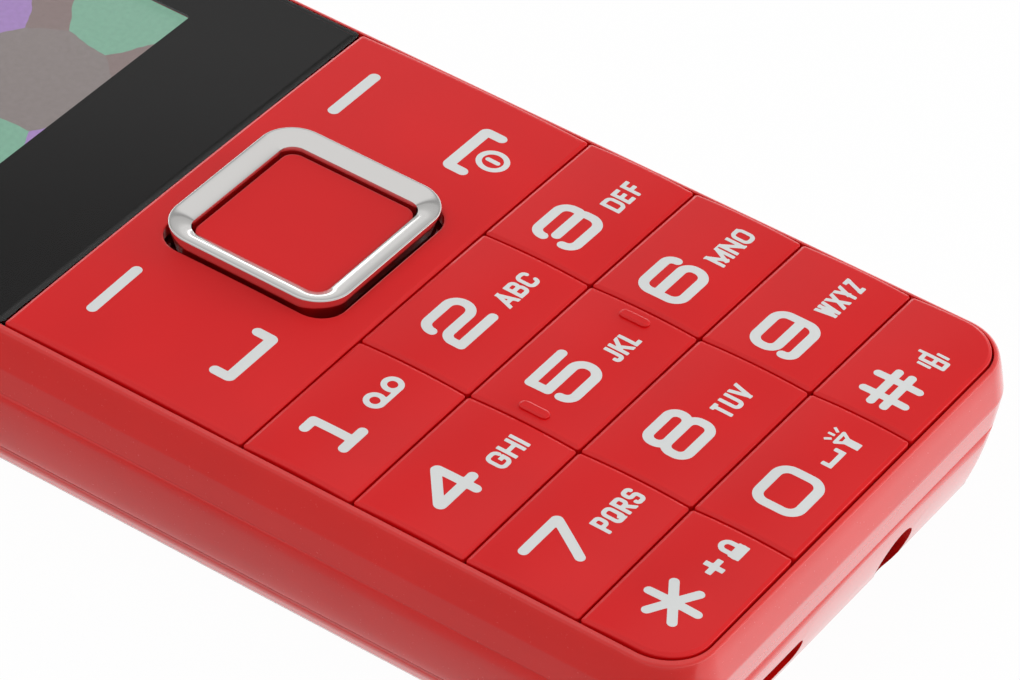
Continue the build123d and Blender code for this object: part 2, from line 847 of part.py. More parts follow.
def display_backlight():
    """Light guide under the panel."""
    low = board_top + 2 * housing_gap + frame_floor
    return display_plan(-frame_gap, low, low + light_thickness)


def display_panel():
    """The glass panel that shows the picture."""
    return display_plan(-frame_gap / 2, display_top - panel_thickness, display_top)


def display_flex():
    """Flat cable from the panel's lower edge down to the main board."""
    foot = display_middle - view_length / 2 - panel_chin + frame_gap / 2
    high = display_top - panel_thickness / 2
    low = board_top + flex_gap
    half = flex_width / 2
    bend = foot - flex_bend
    end = foot - flex_reach
    up = block(-half, half, bend, bend + flex_thickness, low, high)
    across = block(-half, half, bend, foot - flex_gap, high, high + flex_thickness)
    away = block(-half, half, end, bend + flex_thickness, low, low + flex_thickness)
    half = flex_plug_width / 2
    start = end + flex_plug_back
    plug = block(-half, half, start, start + flex_plug_length, low + flex_thickness, low + flex_plug_height)
    return up + across + away + plug


def earpiece():
    """Flat oval receiver under the slot."""
    low = board_top + housing_gap
    body = slab(ear_length, ear_width, ear_width * 0.45, low, low + ear_height, 0, ear_middle)
    return chamfer(top_edges(body), ear_edge)


def earpiece_mesh():
    """Woven mesh that closes the earpiece slot from below."""
    return slab(ear_slot_length - ear_mesh_margin, ear_slot_width - 2 * housing_gap, ear_slot_width * 0.45,
                window_deck_top - ear_mesh_thickness, window_deck_top, 0, ear_middle)


def keypad_mat():
    """Silicone mat under the deck with a nub over every dome."""
    foot = face_foot + side_wall + mat_margin
    head = nav_top - mat_head
    mat = prism(outline(-side_wall - mat_margin) & half_plane(foot, head), mat_low, mat_top)
    opening = 2 * (flange_margin + mat_ring_gap)
    mat -= slab(ring_width + opening, ring_length + opening, ring_corner, mat_low - 1, mat_top + 1,
                0, nav_middle)
    for x, y in screw_places():
        mat -= faceted_post(boss_radius + boss_gap, 24, mat_low - 1, mat_top + 1, x, y)
    for x, y in key_domes():
        mat += faceted_post(mat_nub_radius, dome_sides, nub_low, mat_low, x, y)
    return mat


def key_domes():
    """Domes under the number keys and under the plate's four keys."""
    places = [post_place(row, column) for row in range(4) for column in range(3)]
    return places + side_post_places()


def nav_domes():
    """The middle dome and the four round it."""
    return [(0, nav_middle), (nav_throw, nav_middle), (-nav_throw, nav_middle),
            (0, nav_middle + nav_throw), (0, nav_middle - nav_throw)]


def led_places():
    """Key lights between the columns."""
    return [(side * middle_column / 2, y) for y in row_lines[1:4] for side in (-1, 1)]


def dome_sheet():
    """Thin film on the board that holds one metal dome for every key."""
    foot = face_foot + side_wall + sheet_foot
    head = nav_top - sheet_head
    width = face_width - 2 * side_wall - 2 * sheet_side
    sheet = slab(width, head - foot, board_corner, board_top, film_top, 0, (head + foot) / 2)
    for x, y in screw_places():
        sheet -= faceted_post(boss_radius + 1.5 * boss_gap, 24, board_top - 1, film_top + 1, x, y)
    half = key_led_width / 2 + led_gap
    depth = key_led_length / 2 + led_gap
    for x, y in led_places():
        sheet -= block(x - half, x + half, y - depth, y + depth, board_top - 1, film_top + 1)
    level = film_top + shoulder_rise * dome_rise
    rings = [Pos(0, 0, film_top - 0.02) * RegularPolygon(dome_radius, dome_sides),
             Pos(0, 0, level) * RegularPolygon(shoulder * dome_radius, dome_sides)]
    cap = loft(rings, ruled=True)
    cap += faceted_post(dimple * dome_radius, dome_sides, film_top, film_top + dome_rise, 0, 0)
    for x, y in key_domes() + nav_domes():
        sheet += Pos(x, y) * cap
    return sheet


def keypad_leds():
    """Small lights on the board that shine through the legends."""
    half = key_led_width / 2
    depth = key_led_length / 2
    return [block(x - half, x + half, y - depth, y + depth, board_top, board_top + key_led_height)
            for x, y in led_places()]


def main_board():
    """Main board, notched round the screw bosses."""
    foot = port_face + board_end
    head = face_head - side_wall - board_end
    width = face_width - 2 * side_wall - 2 * board_side
    board = slab(width, head - foot, board_corner, board_low, board_top, 0, (head + foot) / 2)
    for x, y in screw_places():
        board -= faceted_post(boss_radius + boss_gap, 24, board_low - 1, board_top + 1, x, y)
    return board


def shield(size, x, y):
    """Folded tin can, open towards the board."""
    width, length = size
    can = slab(width, length, can_corner, can_low, board_low, x, y)
    return can - slab(width - 2 * can_sheet, length - 2 * can_sheet, can_corner - can_sheet,
                      can_low + can_sheet, board_low + 1, x, y)


def rf_shield():
    """Can over the radio part."""
    return shield(radio_can, 0, bay_head + radio_place)


def base_shield():
    """Can over the processor."""
    return shield(base_can, 0, bay_foot + base_place)


def sim_holder():
    """Sheet-metal card holder on the underside of the board."""
    x, y = sim_place()
    low = can_low + sim_sheet
    holder = slab(sim_width, sim_length, window_corner, low, board_low, x, y)
    half = sim_width / 2 - 1
    holder -= block(x - half, x + half, y - sim_length, y + sim_length / 2 - sim_stop,
                    low + sim_sheet, board_low - sim_sheet)
    return holder - slab(sim_width / 2, sim_length / 2, window_corner, low - 1, low + 2 * sim_sheet, x, y)


def port_board():
    """Small board over the ports, joined to the main board by a connector."""
    foot = port_face + port_board_end
    head = port_head - port_board_end
    width = face_width - 2 * side_wall - 2 * port_board_side
    top = port_board_low + port_board_thickness
    board = slab(width, head - foot, window_corner, port_board_low, top, 0, (head + foot) / 2)
    end = head - link_back
    link = block(-link_width / 2, link_width / 2, end - link_length, end, top, board_low)
    return board + link


def headphone_jack():
    """Socket body with its round bore and the collar that stands in the case's hole."""
    body = block(jack_side - jack_width / 2, jack_side + jack_width / 2, jack_front, jack_back,
                 jack_low, jack_low + jack_height)
    body = chamfer(body.edges().filter_by(Axis.Y), jack_chamfer)
    body += rod(jack_collar_radius, jack_front - jack_collar, jack_front + 1, jack_side, jack_axis)
    body -= rod(jack_bore, jack_front - 2 * jack_collar, jack_front + jack_bore_length, jack_side, jack_axis)
    return body


def usb_port():
    """Folded steel shell with its tongue and the block behind it."""
    front = jack_front
    back = front + usb_length
    half = usb_width / 2
    low = usb_axis - usb_height / 2
    high = usb_axis + usb_height / 2
    shell = block(usb_side - half, usb_side + half, front, back, low, high)
    lower = shell.edges().filter_by(Axis.Y).sort_by(Axis.Z)[0:2]
    shell = chamfer(lower, usb_chamfer)
    inside = block(usb_side - half + usb_shell, usb_side + half - usb_shell, front - 1, back - usb_block,
                   low + usb_shell, high - usb_shell)
    inside = chamfer(inside.edges().filter_by(Axis.Y).sort_by(Axis.Z)[0:2], usb_chamfer - 0.1)
    shell -= inside
    shell += block(usb_side - half + usb_tongue_side, usb_side + half - usb_tongue_side,
                   front + usb_leg, back - usb_block / 2, usb_axis - usb_tongue / 2, usb_axis + usb_tongue / 2)
    for side in (-1, 1):
        x = usb_side + side * (half - usb_leg)
        shell += block(x - usb_leg / 2, x + usb_leg / 2, front + usb_block, back - usb_block,
                       high - usb_shell / 2, port_board_low)
    return shell


def microphone():
    """Small round capsule behind the end wall."""
    start = port_face + port_seat + boot_floor
    return rod(mic_radius - boot_wall, start, start + mic_depth, mic_side, usb_axis)


def microphone_boot():
    """Rubber cup round the capsule, with its sound hole."""
    start = port_face + port_seat
    cup = rod(mic_radius, start, start + mic_depth + boot_floor, mic_side, usb_axis)
    cup -= rod(mic_radius - boot_wall, start + boot_floor, start + mic_depth + 2, mic_side, usb_axis)
    return cup - rod(mic_hole, start - 1, start + 1, mic_side, usb_axis)


def battery():
    """Removable flat battery with rounded long edges and three sunk contacts."""
    pack = block(-battery_width / 2, battery_width / 2, battery_foot, battery_head, battery_low, battery_top)
    pack = fillet(pack.edges().filter_by(Axis.Y), battery_edge_radius)
    level = battery_low + leaf_level
    for x in (-contact_pitch, 0.0, contact_pitch):
        pack -= block(x - contact_pad / 2, x + contact_pad / 2, battery_head - pad_depth, battery_head + 1,
                      level - leaf_height, level + leaf_height)
    return pack


def battery_contacts():
    """Contact block in the bay's end wall, with three sprung leaves."""
    front = bay_head + contact_gap
    low = seam_height + skin + contact_gap
    body = block(-contact_width / 2, contact_width / 2, front, front + contact_depth, low, board_low)
    leaf = battery_low + leaf_level
    for x in (-contact_pitch, 0.0, contact_pitch):
        body += block(x - leaf_width / 2, x + leaf_width / 2, battery_head + housing_gap, front + contact_gap,
                      leaf - leaf_height / 2, leaf + leaf_height / 2)
    return body


def loudspeaker():
    """Oval speaker in the chamber behind the sound slots."""
    low = seam_height + skin + mesh_thickness + housing_gap
    body = slab(speaker_length, speaker_width, speaker_corner, low, low + speaker_height, 0, speaker_middle())
    body = chamfer(top_edges(body), speaker_edge)
    return body - slab(speaker_length - 2 * speaker_border, speaker_width - 2 * speaker_border,
                       speaker_corner - speaker_border, low - 1, low + cone_depth, 0, speaker_middle())


def speaker_mesh():
    """Dust mesh between the speaker and the slots."""
    low = seam_height + skin + 0.02
    return slab(speaker_length - speaker_border, speaker_width - speaker_border,
                speaker_corner - speaker_border / 2, low, low + mesh_thickness, 0, speaker_middle())


def along_x(radius, x0, x1, y, z):
    """A round rod along X."""
    return Pos((x0 + x1) / 2, y, z) * Rot(0, 90, 0) * Cylinder(radius, x1 - x0)


def vibration_motor():
    """Small can motor on its saddle, bored for the shaft."""
    y = motor_place
    z = motor_axis
    start = motor_side - motor_length / 2
    end = motor_side + motor_length / 2
    can = along_x(motor_radius, start, end, y, z)
    return can - along_x(shaft_radius + shaft_clearance, end - shaft_grip - shaft_end, end + 1, y, z)


def vibration_weight():
    """Half-round weight on the motor's shaft, hanging with its heavy side down."""
    y = motor_place
    z = motor_axis
    start = motor_side + motor_length / 2
    shaft = along_x(shaft_radius, start - shaft_grip, start + weight_gap + weight_length + shaft_end, y, z)
    disc = along_x(weight_radius, start + weight_gap, start + weight_gap + weight_length, y, z)
    reach = 2 * weight_radius
    half = disc & block(start, start + 2 * weight_length, y - reach, y + reach, z - reach, z + weight_flat)
    return shaft + half


def antenna_carrier():
    """Plastic block at the head of the rear housing that spreads the antenna."""
    head = face_head - side_wall - antenna_back
    low = seam_height + skin + housing_gap
    half = antenna_width / 2
    carrier = block(-half, half, head - antenna_depth, head, low, low + antenna_height)
    return carrier - block(-half + antenna_wall, half - antenna_wall, head - antenna_depth + antenna_wall,
                           head - antenna_wall, low - 1, low + antenna_height - antenna_wall)


def antenna():
    """Stamped antenna plate on the carrier, with its folded end and feed leg."""
    head = face_head - side_wall - antenna_back
    low = seam_height + skin + housing_gap + antenna_height
    half = antenna_width / 2
    plate = block(-half, half, head - antenna_depth, head, low, low + foil_thickness)
    arm = head - slot_back
    plate -= block(-half + fold, half - 2 * fold, arm - slot_width, arm, low - 1, low + 1)
    plate -= block(-half + fold, -half + fold + slot_width, head - antenna_depth - 1, arm, low - 1, low + 1)
    leg = block(half - 2 * feed_width, half - feed_width, head - feed_width, head - feed_width + foil_thickness,
                low, board_low)
    return plate + leg


def torch_led():
    """Side-shining light on the edge of the main board."""
    back = face_head - side_wall - torch_back
    half = led_side / 2
    front = back + led_depth
    body = block(torch_side - half, torch_side + half, back, front, board_top, board_top + led_height)
    return body + along_x(led_bead, torch_side - half / 2, torch_side + half / 2, front, torch_height())


def torch_lens():
    """Clear plug in the head wall in front of the light."""
    start = face_head - side_wall - torch_tail
    lens = rod(torch_radius, start, body_length / 2, torch_side, torch_height())
    return lens & front_blank()


def housing_screws():
    """Six screws from the back into the front bosses."""
    screws = []
    for x, y in screw_places():
        shaft = faceted_post(screw_radius, 12, screw_seat() - 0.1, screw_top(), x, y)
        head = faceted_post(head_radius, 24, screw_seat() - head_height, screw_seat() - 0.01, x, y)
        deep = screw_seat() - head_height + cross_depth
        long = cross_length / 2
        thin = cross_width / 2
        cross = block(x - long, x + long, y - thin, y + thin, 0, deep)
        cross += block(x - thin, x + thin, y - long, y + long, 0, deep)
        screws.append(shaft + head - cross)
    return screws


def save(name, shape):
    """Write one sub-part; a list of separate solids becomes one group."""
    if isinstance(shape, list):
        shape = Compound(children=[piece for piece in shape])
    shape.label = name
    export_step(shape, os.path.join("parts", name + ".step"))


def build():
    """Every sub-part under its node's name."""
    parts = {"front_housing": front_housing(), "rear_housing": rear_housing(), "back_cover": back_cover(),
             "window_lens": window_lens(), "window_adhesive": window_adhesive(),
             "display_panel": display_panel(), "display_backlight": display_backlight(),
             "display_frame": display_frame(), "display_flex": display_flex(),
             "earpiece": earpiece(), "earpiece_mesh": earpiece_mesh(),
             "function_plate": function_plate(), "nav_ring": nav_ring(), "nav_pivot": nav_pivot(),
             "ok_key": ok_key(), "keypad_mat": keypad_mat(), "dome_sheet": dome_sheet(),
             "keypad_leds": keypad_leds(), "main_board": main_board(), "rf_shield": rf_shield(),
             "base_shield": base_shield(), "sim_holder": sim_holder(), "port_board": port_board(),
             "headphone_jack": headphone_jack(), "usb_port": usb_port(), "microphone": microphone(),
             "microphone_boot": microphone_boot(), "battery": battery(), "battery_contacts": battery_contacts(),
             "loudspeaker": loudspeaker(), "speaker_mesh": speaker_mesh(),
             "vibration_motor": vibration_motor(), "vibration_weight": vibration_weight(),
             "antenna_carrier": antenna_carrier(), "antenna": antenna(), "torch_led": torch_led(),
             "torch_lens": torch_lens(), "housing_screws": housing_screws()}
    for row, names in enumerate(key_names):
        for column, name in enumerate(names):
            parts[name] = number_key(row, column)
    return parts


os.makedirs("parts", exist_ok=True)
for node, solid in build().items():
    save(node, solid)
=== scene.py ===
"""Looks of a red bar phone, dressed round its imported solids.

Sizes in the classes are millimetres in the phone's own frame: +Z out of the
face, +Y towards the earpiece, +X to the right of the face. They become metres
when a mesh is made.
"""

from __future__ import annotations

import json
import logging
import math
from dataclasses import dataclass, field, replace
from enum import Enum
from typing import Callable, Mapping, Sequence

import bmesh
import bpy
import numpy as np
from mathutils import Matrix, Vector

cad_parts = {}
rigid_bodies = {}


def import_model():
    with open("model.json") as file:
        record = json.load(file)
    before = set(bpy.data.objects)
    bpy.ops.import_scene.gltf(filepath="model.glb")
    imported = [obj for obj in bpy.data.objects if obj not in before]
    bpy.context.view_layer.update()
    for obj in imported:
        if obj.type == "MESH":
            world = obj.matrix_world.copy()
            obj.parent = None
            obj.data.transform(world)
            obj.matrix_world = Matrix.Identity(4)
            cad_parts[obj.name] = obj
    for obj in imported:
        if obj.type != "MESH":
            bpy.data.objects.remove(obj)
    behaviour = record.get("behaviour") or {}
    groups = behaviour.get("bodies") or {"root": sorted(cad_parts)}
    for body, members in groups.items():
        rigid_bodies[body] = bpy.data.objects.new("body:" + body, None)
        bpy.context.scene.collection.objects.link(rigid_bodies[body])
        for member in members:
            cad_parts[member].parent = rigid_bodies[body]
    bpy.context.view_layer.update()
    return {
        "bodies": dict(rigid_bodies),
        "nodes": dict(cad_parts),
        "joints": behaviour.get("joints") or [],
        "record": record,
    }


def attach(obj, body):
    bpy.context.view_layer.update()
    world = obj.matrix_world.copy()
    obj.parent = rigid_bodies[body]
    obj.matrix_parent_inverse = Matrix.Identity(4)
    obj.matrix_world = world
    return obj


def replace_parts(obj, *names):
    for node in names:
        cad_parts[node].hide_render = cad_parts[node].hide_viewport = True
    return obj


LOG = logging.getLogger("bar_phone")
MM = 0.001
Array = np.ndarray
HeightField = Callable[[Array, Array], Array]


class Body(Enum):
    """Bodies of the frame that pieces ride on."""

    PHONE = "phone_body"
    PLATE = "function_plate"
    RING = "nav_ring"
    OK = "ok_key"
    COVER = "back_cover"


@dataclass(frozen=True)
class Face:
    """Layout of the phone's face, shared by everything that lies in it."""

    half_width: float = 23.85
    foot: float = -55.65
    head: float = 55.65
    corner: float = 3.85
    half_column: float = 8.5
    grid_top: float = -16.30
    key_pitch: float = 10.13
    nav_top: float = 6.24
    key_gap: float = 0.16
    key_top: float = 15.2
    cap_low: float = 13.9
    rim_top: float = 14.6
    camber: float = 0.25
    row_crown: float = 0.2

    @property
    def nav_middle(self) -> float:
        """Middle of the function plate along Y."""
        return (self.grid_top + self.nav_top) / 2

    def row(self, index: int) -> tuple[float, float]:
        """Lower and upper line of a number-key row, counted from the top."""
        top = self.grid_top - index * self.key_pitch
        return (self.foot if index == 3 else top - self.key_pitch), top

    def crowned(self, low: float, high: float) -> HeightField:
        """Height of the key surface between two row lines.

        The height is the key top less a parabola along X, which falls by the
        camber at the face's sides, and one along Y, which falls by the row
        crown at both lines.

        Args:
            low: Lower line of the row.
            high: Upper line of the row.

        Returns:
            A function of x and y in millimetres.
        """
        middle, half = (low + high) / 2, (high - low) / 2

        def height(x: Array, y: Array) -> Array:
            """Height at x, y."""
            return self.key_top - self.camber * (x / self.half_width) ** 2 - self.row_crown * ((y - middle) / half) ** 2

        return height


FACE = Face()


# Finishes


def linear(colour: str) -> tuple[float, float, float, float]:
    """Turns an sRGB hex colour into linear RGBA.

    Args:
        colour: Six hex digits after a hash.

    Returns:
        Linear red, green and blue, with alpha 1.
    """
    parts = [int(colour[i : i + 2], 16) / 255 for i in (1, 3, 5)]
    out = [p / 12.92 if p <= 0.04045 else ((p + 0.055) / 1.055) ** 2.4 for p in parts]
    return out[0], out[1], out[2], 1.0


def add_node(
    tree: bpy.types.NodeTree,
    kind: str,
    settings: Mapping[str, object] | None = None,
    links: Mapping[str, bpy.types.NodeSocket] | None = None,
) -> bpy.types.Node:
    """Adds one node with its settings and links.

    Args:
        tree: Node tree that gets the node.
        kind: Blender's node type.
        settings: Values by socket name or attribute name; "stops" fills a colour ramp.
        links: Sockets to join, by input name.

    Returns:
        The new node.
    """
    node = tree.nodes.new(kind)
    for key, value in (settings or {}).items():
        if key == "stops":
            ramp = node.color_ramp
            while len(ramp.elements) < len(value):
                ramp.elements.new(0.5)
            for element, (place, colour) in zip(ramp.elements, value):
                element.position, element.color = place, colour
        elif isinstance(key, int) or key in node.inputs:
            node.inputs[key].default_value = value
        else:
            setattr(node, key, value)
    for key, socket in (links or {}).items():
        tree.links.new(socket, node.inputs[key])
    return node


def start_material(name: str) -> tuple[bpy.types.Material, bpy.types.NodeTree, bpy.types.Node]:
    """Makes an empty node material.

    Args:
        name: Material's name.

    Returns:
        The material, its tree and its output node.
    """
    made = bpy.data.materials.new(name)
    made.use_nodes = True
    tree = made.node_tree
    tree.nodes.clear()
    return made, tree, tree.nodes.new("ShaderNodeOutputMaterial")


@dataclass(frozen=True)
class MouldedPlastic:
    """Injection-moulded ABS or polycarbonate: dyed through, with the mould's fine spark texture."""

    name: str
    colour: str
    roughness: float = 0.35
    grain_mm: float = 0.16
    grain_height_mm: float = 0.0015
    drift: float = 0.05
    coat: float = 0.0
    coat_roughness: float = 0.12
    ior: float = 1.5
    coat_ior: float = 1.5

    def material(self) -> bpy.types.Material:
        """Builds the material."""
        made, tree, out = start_material(self.name)
        place = add_node(tree, "ShaderNodeTexCoord").outputs["Object"]
        grain = add_node(tree, "ShaderNodeTexNoise", {"Scale": 1 / (self.grain_mm * MM), "Detail": 2.0}, {"Vector": place})
        # Dye and flow differ a little over some 9 mm, as in any moulding.
        cloud = add_node(tree, "ShaderNodeTexNoise", {"Scale": 1 / (9 * MM), "Detail": 1.0}, {"Vector": place})
        base = np.array(linear(self.colour)[:3])
        tone = add_node(
            tree,
            "ShaderNodeValToRGB",
            {"stops": [(0.3, (*(base * (1 - self.drift)), 1)), (0.7, (*(base * (1 + self.drift)), 1))]},
            {"Fac": cloud.outputs["Fac"]},
        )
        gloss = add_node(
            tree,
            "ShaderNodeMapRange",
            {"To Min": self.roughness * 0.88, "To Max": self.roughness * 1.12},
            {"Value": grain.outputs["Fac"]},
        )
        bump = add_node(
            tree, "ShaderNodeBump", {"Distance": self.grain_height_mm * MM, "Strength": 1.0}, {"Height": grain.outputs["Fac"]}
        )
        shader = add_node(
            tree,
            "ShaderNodeBsdfPrincipled",
            {
                "IOR": self.ior,
                "Coat Weight": self.coat,
                "Coat Roughness": self.coat_roughness,
                "Coat IOR": self.coat_ior,
            },
            {"Base Color": tone.outputs["Color"], "Roughness": gloss.outputs["Result"], "Normal": bump.outputs["Normal"]},
        )
        tree.links.new(shader.outputs["BSDF"], out.inputs["Surface"])
        return made


@dataclass(frozen=True)
class Metal:
    """Plated, rolled or stamped metal: bright, with faint streaks along one axis."""

    name: str
    colour: str
    roughness: float = 0.1
    streak_mm: float = 0.05
    streak_length_mm: float = 3.0
    streak_depth: float = 0.04

    def material(self) -> bpy.types.Material:
        """Builds the material."""
        made, tree, out = start_material(self.name)
        place = add_node(tree, "ShaderNodeTexCoord").outputs["Object"]
        stretch = (1 / (self.streak_length_mm * MM), 1 / (self.streak_mm * MM), 1 / (self.streak_mm * MM))
        turned = add_node(tree, "ShaderNodeMapping", {"Scale": stretch}, {"Vector": place})
        streak = add_node(tree, "ShaderNodeTexNoise", {"Scale": 1.0, "Detail": 2.0}, {"Vector": turned.outputs["Vector"]})
        gloss = add_node(
            tree,
            "ShaderNodeMapRange",
            {"To Min": max(self.roughness - self.streak_depth, 0.01), "To Max": self.roughness + self.streak_depth},
            {"Value": streak.outputs["Fac"]},
        )
        shader = add_node(
            tree,
            "ShaderNodeBsdfPrincipled",
            {"Base Color": linear(self.colour), "Metallic": 1.0},
            {"Roughness": gloss.outputs["Result"]},
        )
        tree.links.new(shader.outputs["BSDF"], out.inputs["Surface"])
        return made


@dataclass(frozen=True)
class ClearAcrylic:
    """Clear cast acrylic, polished on both faces."""

    name: str
    colour: str = "#FFFFFF"
    ior: float = 1.49

    def material(self) -> bpy.types.Material:
        """Builds the material; a faint handling haze varies the roughness."""
        made, tree, out = start_material(self.name)
        place = add_node(tree, "ShaderNodeTexCoord").outputs["Object"]
        haze = add_node(tree, "ShaderNodeTexNoise", {"Scale": 1 / (14 * MM), "Detail": 3.0}, {"Vector": place})
        gloss = add_node(tree, "ShaderNodeMapRange", {"To Min": 0.0, "To Max": 0.02}, {"Value": haze.outputs["Fac"]})
        shader = add_node(
            tree,
            "ShaderNodeBsdfPrincipled",
            {"Base Color": linear(self.colour), "Transmission Weight": 1.0, "IOR": self.ior},
            {"Roughness": gloss.outputs["Result"]},
        )
        tree.links.new(shader.outputs["BSDF"], out.inputs["Surface"])
        return made


@dataclass(frozen=True)
class LitPicture:
    """A small lit colour display showing a wallpaper of soft tinted flakes."""

    name: str
    flake_mm: float = 11.0
    offset_mm: tuple[float, float, float] = (1.0, 3.5, 0.0)
    tints: tuple[str, ...] = ("#7E6A68", "#9A8390", "#7F7472", "#74A88F", "#7A746C", "#88B39E", "#9C78B8")

    def material(self) -> bpy.types.Material:
        """Builds the material: Voronoi cells with bent borders, each with one tint."""
        made, tree, out = start_material(self.name)
        place = add_node(tree, "ShaderNodeTexCoord").outputs["Object"]
        bend = add_node(tree, "ShaderNodeTexNoise", {"Scale": 1 / (3 * MM), "Detail": 2.0}, {"Vector": place})
        push = add_node(tree, "ShaderNodeVectorMath", {"operation": "SCALE", "Scale": 0.8 * MM})
        tree.links.new(bend.outputs["Color"], push.inputs[0])
        moved = add_node(tree, "ShaderNodeVectorMath", {"operation": "ADD"})
        start = add_node(tree, "ShaderNodeVectorMath", {"operation": "ADD", 1: [v * MM for v in self.offset_mm]})
        tree.links.new(place, start.inputs[0])
        tree.links.new(start.outputs["Vector"], moved.inputs[0])
        tree.links.new(push.outputs["Vector"], moved.inputs[1])
        cells = add_node(tree, "ShaderNodeTexVoronoi", {"Scale": 1 / (self.flake_mm * MM), "Randomness": 0.9}, {"Vector": moved.outputs["Vector"]})
        pick = add_node(tree, "ShaderNodeSeparateColor", links={"Color": cells.outputs["Color"]})
        stops = [(i / len(self.tints), linear(t)) for i, t in enumerate(self.tints)]
        tint = add_node(tree, "ShaderNodeValToRGB", {"stops": stops}, {"Fac": pick.outputs["Red"]})
        tint.color_ramp.interpolation = "CONSTANT"
        # Faint fine mottle, coarser than the real 0.2 mm pixels so that it shows.
        mottle = add_node(tree, "ShaderNodeTexNoise", {"Scale": 1 / (0.5 * MM), "Detail": 1.0}, {"Vector": place})
        shade = add_node(tree, "ShaderNodeMapRange", {"To Min": 0.85, "To Max": 1.1}, {"Value": mottle.outputs["Fac"]})
        lit = add_node(
            tree, "ShaderNodeMix", {"data_type": "RGBA", "blend_type": "MULTIPLY", "Factor": 1.0}
        )
        tree.links.new(tint.outputs["Color"], lit.inputs[6])
        tree.links.new(shade.outputs["Result"], lit.inputs[7])
        shader = add_node(
            tree,
            "ShaderNodeBsdfPrincipled",
            {"Base Color": linear("#0A0A0A"), "Roughness": 0.3, "Emission Strength": 1.0},
            {"Emission Color": lit.outputs[2]},
        )
        tree.links.new(shader.outputs["BSDF"], out.inputs["Surface"])
        return made


@dataclass(frozen=True)
class CircuitBoard:
    """Green solder mask on glass laminate, with copper tracks showing through it."""

    name: str
    mask: str = "#12502F"
    track: str = "#2C7A45"
    pitch_mm: float = 1.2

    def material(self) -> bpy.types.Material:
        """Builds the material: straight tracks from a brick pattern with wide joints."""
        made, tree, out = start_material(self.name)
        place = add_node(tree, "ShaderNodeTexCoord").outputs["Object"]
        tracks = add_node(
            tree,
            "ShaderNodeTexBrick",
            {
                "Scale": 1 / (self.pitch_mm * MM),
                "Color1": linear(self.mask),
                "Color2": linear(self.mask),
                "Mortar": linear(self.track),
                "Mortar Size": 0.04,
                "Brick Width": 3.0,
                "Row Height": 0.5,
            },
            {"Vector": place},
        )
        bump = add_node(tree, "ShaderNodeBump", {"Distance": 0.03 * MM}, {"Height": tracks.outputs["Fac"]})
        shader = add_node(
            tree,
            "ShaderNodeBsdfPrincipled",
            {"Roughness": 0.35},
            {"Base Color": tracks.outputs["Color"], "Normal": bump.outputs["Normal"]},
        )
        tree.links.new(shader.outputs["BSDF"], out.inputs["Surface"])
        return made


@dataclass(frozen=True)
class WovenMesh:
    """Fine black polyester dust mesh: two sets of threads at right angles."""

    name: str
    colour: str = "#141414"
    thread_mm: float = 0.18

    def material(self) -> bpy.types.Material:
        """Builds the material; the threads are drawn coarser than the real 0.08 mm ones so that they show."""
        made, tree, out = start_material(self.name)
        place = add_node(tree, "ShaderNodeTexCoord").outputs["Object"]
        waves = [
            add_node(
                tree,
                "ShaderNodeTexWave",
                {"bands_direction": axis, "Scale": 1 / (self.thread_mm * MM) / (2 * math.pi) * 2},
                {"Vector": place},
            )
            for axis in ("X", "Y")
        ]
        weave = add_node(tree, "ShaderNodeMath", {"operation": "MULTIPLY"})
        for index, wave in enumerate(waves):
            tree.links.new(wave.outputs["Fac"], weave.inputs[index])
        bump = add_node(tree, "ShaderNodeBump", {"Distance": 0.05 * MM}, {"Height": weave.outputs["Value"]})
        shader = add_node(
            tree,
            "ShaderNodeBsdfPrincipled",
            {"Base Color": linear(self.colour), "Roughness": 0.7},
            {"Normal": bump.outputs["Normal"]},
        )
        tree.links.new(shader.outputs["BSDF"], out.inputs["Surface"])
        return made


# Polycarbonate of the case: deep red, its skin polished enough to mirror the pale table at a low angle.
SHELL_RED = MouldedPlastic("polycarbonate_case_red", "#D6120B", 0.26, 0.22, 0.0012, 0.03, 0.9, 0.14, 1.5)
# Keys and plate: the same dye with a finer, duller spark texture, so that they stay saturated.
KEY_RED = MouldedPlastic("polycarbonate_key_red", "#D2080D", 0.4, 0.12, 0.0018, 0.03, 0.42, 0.1, 1.28)
# The battery cover has the glossiest skin: its narrow side mirrors the table almost white. Its base red is also a
# little lighter than the case's red: painted light, standing for light from below on that downward-facing side.
COVER_RED_PAINTED_LIGHTER = MouldedPlastic("polycarbonate_cover_red_painted_lighter", "#DE1A12", 0.24, 0.22, 0.001, 0.03, 1.0, 0.12, 1.6, 2.1)
# Screen-printed legend ink: pale grey, dead flat.
LEGEND_INK = MouldedPlastic("legend_ink", "#D7D9D8", 0.6, 0.1, 0.001, 0.02)
# Black ink bonded to the window's back: the acrylic keeps all the gloss, the ink has next to none of its own.
WINDOW_PRINT = MouldedPlastic("window_print_ink", "#110E0D", 0.8, 0.2, 0.0, 0.0, ior=1.05)
CHROME = Metal("chrome_plate", "#E4E2E0", 0.11, 0.3, 2.0, 0.02)
WINDOW = ClearAcrylic("acrylic_window")
PICTURE = LitPicture("lit_display")
ICON_GLOW = MouldedPlastic("display_icon", "#E8EDEC", 0.5)

